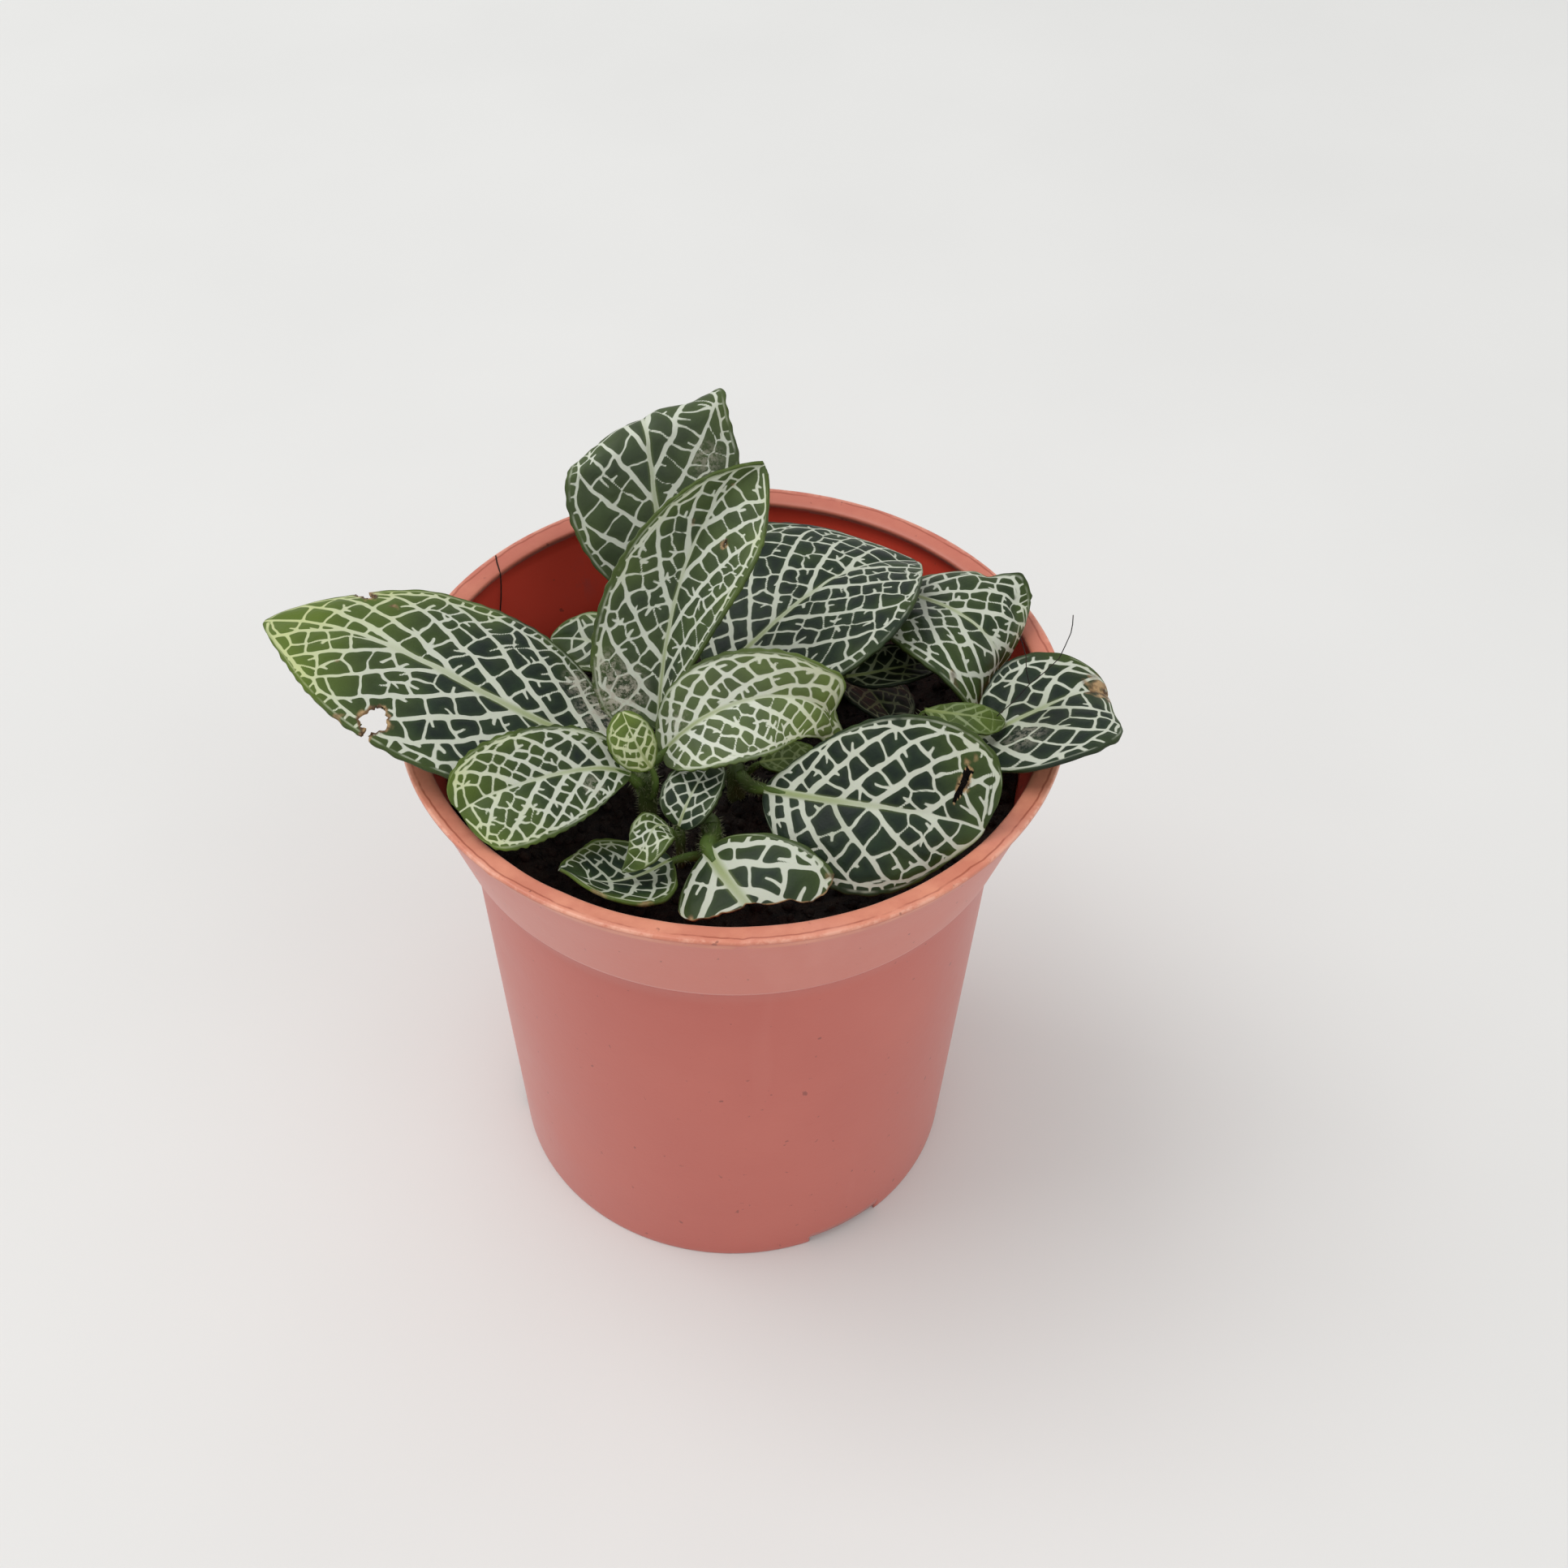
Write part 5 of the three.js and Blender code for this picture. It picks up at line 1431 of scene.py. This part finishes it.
def build_stem(name, material):
    """One short stem with its swollen joint and fine hairs."""
    (x, y), top, radius = STEMS[name]
    bm = bmesh.new()
    layer = bm.verts.layers.int.new("place")
    centres, radii = [], []
    for z in np.linspace(STEM_BOTTOM, top, STEM_RINGS + 1):
        below = float(top - z)
        swollen = 0.16 * math.exp(-(((below - 2.2) / 1.3) ** 2))
        swollen += 0.1 * math.exp(-(((below - 7) / 1.2) ** 2))
        round_top = math.sqrt(max(0.0, 1 - max(0.0, (0.6 - below) / 0.6) ** 2 * 0.6))
        centres.append(Vector((x, y, z)))
        radii.append(radius * (0.86 + swollen) * round_top)
    tube(bm, centres, radii, 20, layer)
    rng = random.Random(name)
    for _ in range(int(150 * radius)):
        z = rng.uniform(SOIL_Z + 0.5, top - 0.5)
        angle = rng.uniform(0, 2 * math.pi)
        out = Vector((math.cos(angle), math.sin(angle), rng.uniform(-0.3, 0.5)))
        spot = Vector((x + math.cos(angle) * radius * 0.85, y + math.sin(angle) * radius * 0.85, z))
        hair(bm, spot, out, rng.uniform(0.5, 1.0), layer)
    piece = new_piece(name + "_fine", bm, [material])
    mark_vertices(piece.data, {})
    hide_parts(name)


# Loose threads, in mm: points, radius
THREADS = {
    "thread_back_left": (
        ((-38.2, 31.4, 98.6), (-37.9, 29.9, 98.4), (-37.4, 28.3, 98.1), (-37.2, 27.6, 97.5),
         (-37.3, 27.5, 95.5), (-37.5, 27.2, 93.2),
         (-37.7, 26.2, 91.5), (-37.8, 25.2, 89.8), (-37.9, 24.4, 88.2)), 0.11),
    "hair_right_long": (
        ((49.0, -0.5, 113), (48.8, -2.0, 112.6), (48.5, -3.2, 112), (47.6, -5.0, 111.2),
         (46.6, -6.8, 110.3),
         (44.4, -8.9, 109.6), (42.1, -10.8, 109), (39.8, -13.4, 108.2), (37.2, -15.7, 107.4)), 0.075),
    "hair_right_short": (
        ((41.2, -3.2, 111.6), (41.6, -5.0, 111), (41.9, -6.4, 110.4), (41.8, -8.6, 109.7),
         (42.1, -10.8, 109)), 0.07),
}


def build_thread(name, material):
    """A fine dark loose thread."""
    points, radius = THREADS[name]
    bm = bmesh.new()
    tube(bm, [Vector(p) for p in points], [radius] * len(points), 6)
    piece = new_piece(name, bm, [material])


def build_stage(settings):
    """Pale floor, a soft light from above and the camera."""
    bm = bmesh.new()
    bmesh.ops.create_grid(bm, x_segments=2, y_segments=2, size=3.0)
    floor = new_object("floor", mesh_of("floor", bm, [floor_material(settings)]))
    for label, place, size, power in (
        ("key_light", (-0.95, 0.1, 1.9), 1.4, settings.key_power),
        ("fill_light", (0.7, -1.0, 1.1), 1.2, settings.fill_power),
    ):
        light = bpy.data.lights.new(label, "AREA")
        light.size, light.energy = size, power
        lamp = new_object(label, light)
        lamp.location = place
        lamp.rotation_euler = (Vector((0, 0, 0.06)) - Vector(place)).to_track_quat("-Z", "Y").to_euler()
    world = bpy.data.worlds.new("soft_world")
    world.use_nodes = True
    world.node_tree.nodes["Background"].inputs["Color"].default_value = (1, 1, 1, 1)
    world.node_tree.nodes["Background"].inputs["Strength"].default_value = settings.world_power
    bpy.context.scene.world = world
    bpy.context.scene.view_settings.view_transform = "Standard"
    lens = bpy.data.cameras.new("camera")
    lens.lens, lens.sensor_width = CAMERA_LENS, 36.0
    lens.shift_x, lens.shift_y = CAMERA_SHIFT
    lens.clip_start, lens.clip_end = 0.01, 20
    camera = new_object("camera", lens)
    camera.location = Vector(CAMERA_PLACE) * MM
    aim = Vector(CAMERA_TARGET) - Vector(CAMERA_PLACE)
    camera.rotation_euler = aim.to_track_quat("-Z", "Y").to_euler()
    bpy.context.scene.camera = camera


# ---------------------------------------------------------------- add-on


def measure_setting(label, text, default, unit="NONE"):
    """A size or a power, with its unit."""
    return bpy.props.FloatProperty(name=label, description=text, default=default, unit=unit)


def count_setting(label, text, default):
    """A whole number."""
    return bpy.props.IntProperty(name=label, description=text, default=default)


def colour_setting(label, text, *screen):
    """A colour, given by its screen values from 0 to 255."""
    return bpy.props.FloatVectorProperty(
        name=label, description=text, size=4, subtype="COLOR", default=linear(*screen)
    )


class PlantSettings(bpy.types.PropertyGroup):
    """Sizes and colours of the plant, its pot and the stage."""

    thickness: measure_setting("Blade thickness", "Thickness of a leaf blade", 0.00046, "LENGTH")
    pitch: measure_setting("Mesh pitch", "Spacing of the vertices on a blade", 0.00029, "LENGTH")
    swell: measure_setting("Cell swell", "How far the green cells stand above the veins", 0.00011, "LENGTH")
    pot_steps: count_setting("Pot steps", "Steps round the pot", 240)
    crumbs: count_setting("Crumbs", "Crumbs on the soil", 2600)
    fibres: count_setting("Fibres", "Fibres on the soil", 90)
    leaf_green: colour_setting("Leaf green", "Colour of the cells", 19, 33, 25)
    lime: colour_setting("Lime", "Colour of fresh growth", 88, 108, 32)
    vein: colour_setting("Veins", "Colour of the veins", 192, 197, 181)
    pot_side: colour_setting("Pot side", "Colour of the pot's side", 190, 95, 82)
    pot_rim: colour_setting("Pot rim", "Colour of the rim", 208, 126, 102)
    # painted light: the inside colour stands in for light shining through the thin wall
    pot_inside: colour_setting("Pot inside", "Colour inside the pot", 220, 72, 52)
    soil: colour_setting("Soil", "Colour of the soil", 22, 17, 16)
    floor: colour_setting("Floor", "Colour of the floor", 228, 228, 226)
    key_power: measure_setting("Key light", "Power of the main light", 18.0, "POWER")
    fill_power: measure_setting("Fill light", "Power of the fill light", 3.0, "POWER")
    world_power: measure_setting("World light", "Strength of the light all round", 0.7)


class NERVE_OT_leaves(bpy.types.Operator):
    """Build every leaf with its veins, marks and stalk"""

    bl_idname = "nerve.leaves"
    bl_label = "Build leaves"

    def execute(self, context):
        settings = context.scene.nerve_plant
        materials = [
            leaf_material("leaf_upper_face", settings, underside=False),
            leaf_material("leaf_underside", settings, underside=True),
        ]
        for name in LEAVES:
            build_blade(name, settings, materials)
        return {"FINISHED"}


class NERVE_OT_stems(bpy.types.Operator):
    """Build the stems that the leaves grow from"""

    bl_idname = "nerve.stems"
    bl_label = "Build stems"

    def execute(self, context):
        material = stem_material()
        for name in STEMS:
            build_stem(name, material)
        return {"FINISHED"}


class NERVE_OT_soil(bpy.types.Operator):
    """Build the soil with its crumbs, fibres and threads"""

    bl_idname = "nerve.soil"
    bl_label = "Build soil"

    def execute(self, context):
        piece = build_soil(context.scene.nerve_plant)
        for name in THREADS:
            build_thread(name, piece.data.materials[0])
        return {"FINISHED"}


class NERVE_OT_pot(bpy.types.Operator):
    """Build the pot with its lip, step, drain holes and notches"""

    bl_idname = "nerve.pot"
    bl_label = "Build pot"

    def execute(self, context):
        build_pot(context.scene.nerve_plant)
        return {"FINISHED"}


class NERVE_OT_stage(bpy.types.Operator):
    """Build the floor, the lights and the camera"""

    bl_idname = "nerve.stage"
    bl_label = "Build stage"

    def execute(self, context):
        build_stage(context.scene.nerve_plant)
        return {"FINISHED"}


OPERATORS = (NERVE_OT_pot, NERVE_OT_soil, NERVE_OT_stems, NERVE_OT_leaves, NERVE_OT_stage)


class NERVE_PT_panel(bpy.types.Panel):
    """Sizes, colours and the steps that build the plant"""

    bl_idname = "NERVE_PT_panel"
    bl_label = "Nerve plant"
    bl_space_type = "VIEW_3D"
    bl_region_type = "UI"
    bl_category = "Nerve plant"

    def draw(self, context):
        settings = context.scene.nerve_plant
        for key in PlantSettings.__annotations__:
            self.layout.prop(settings, key)
        for operator in OPERATORS:
            self.layout.operator(operator.bl_idname)


CLASSES = (PlantSettings, *OPERATORS, NERVE_PT_panel)


def register():
    for cls in CLASSES:
        bpy.utils.register_class(cls)
    bpy.types.Scene.nerve_plant = bpy.props.PointerProperty(type=PlantSettings)


def unregister():
    del bpy.types.Scene.nerve_plant
    for cls in reversed(CLASSES):
        bpy.utils.unregister_class(cls)


def main():
    register()
    for operator in OPERATORS:
        group, action = operator.bl_idname.split(".")
        if getattr(getattr(bpy.ops, group), action)() != {"FINISHED"}:
            raise RuntimeError(operator.bl_idname + " did not finish")


if __name__ == "__main__":
    main()
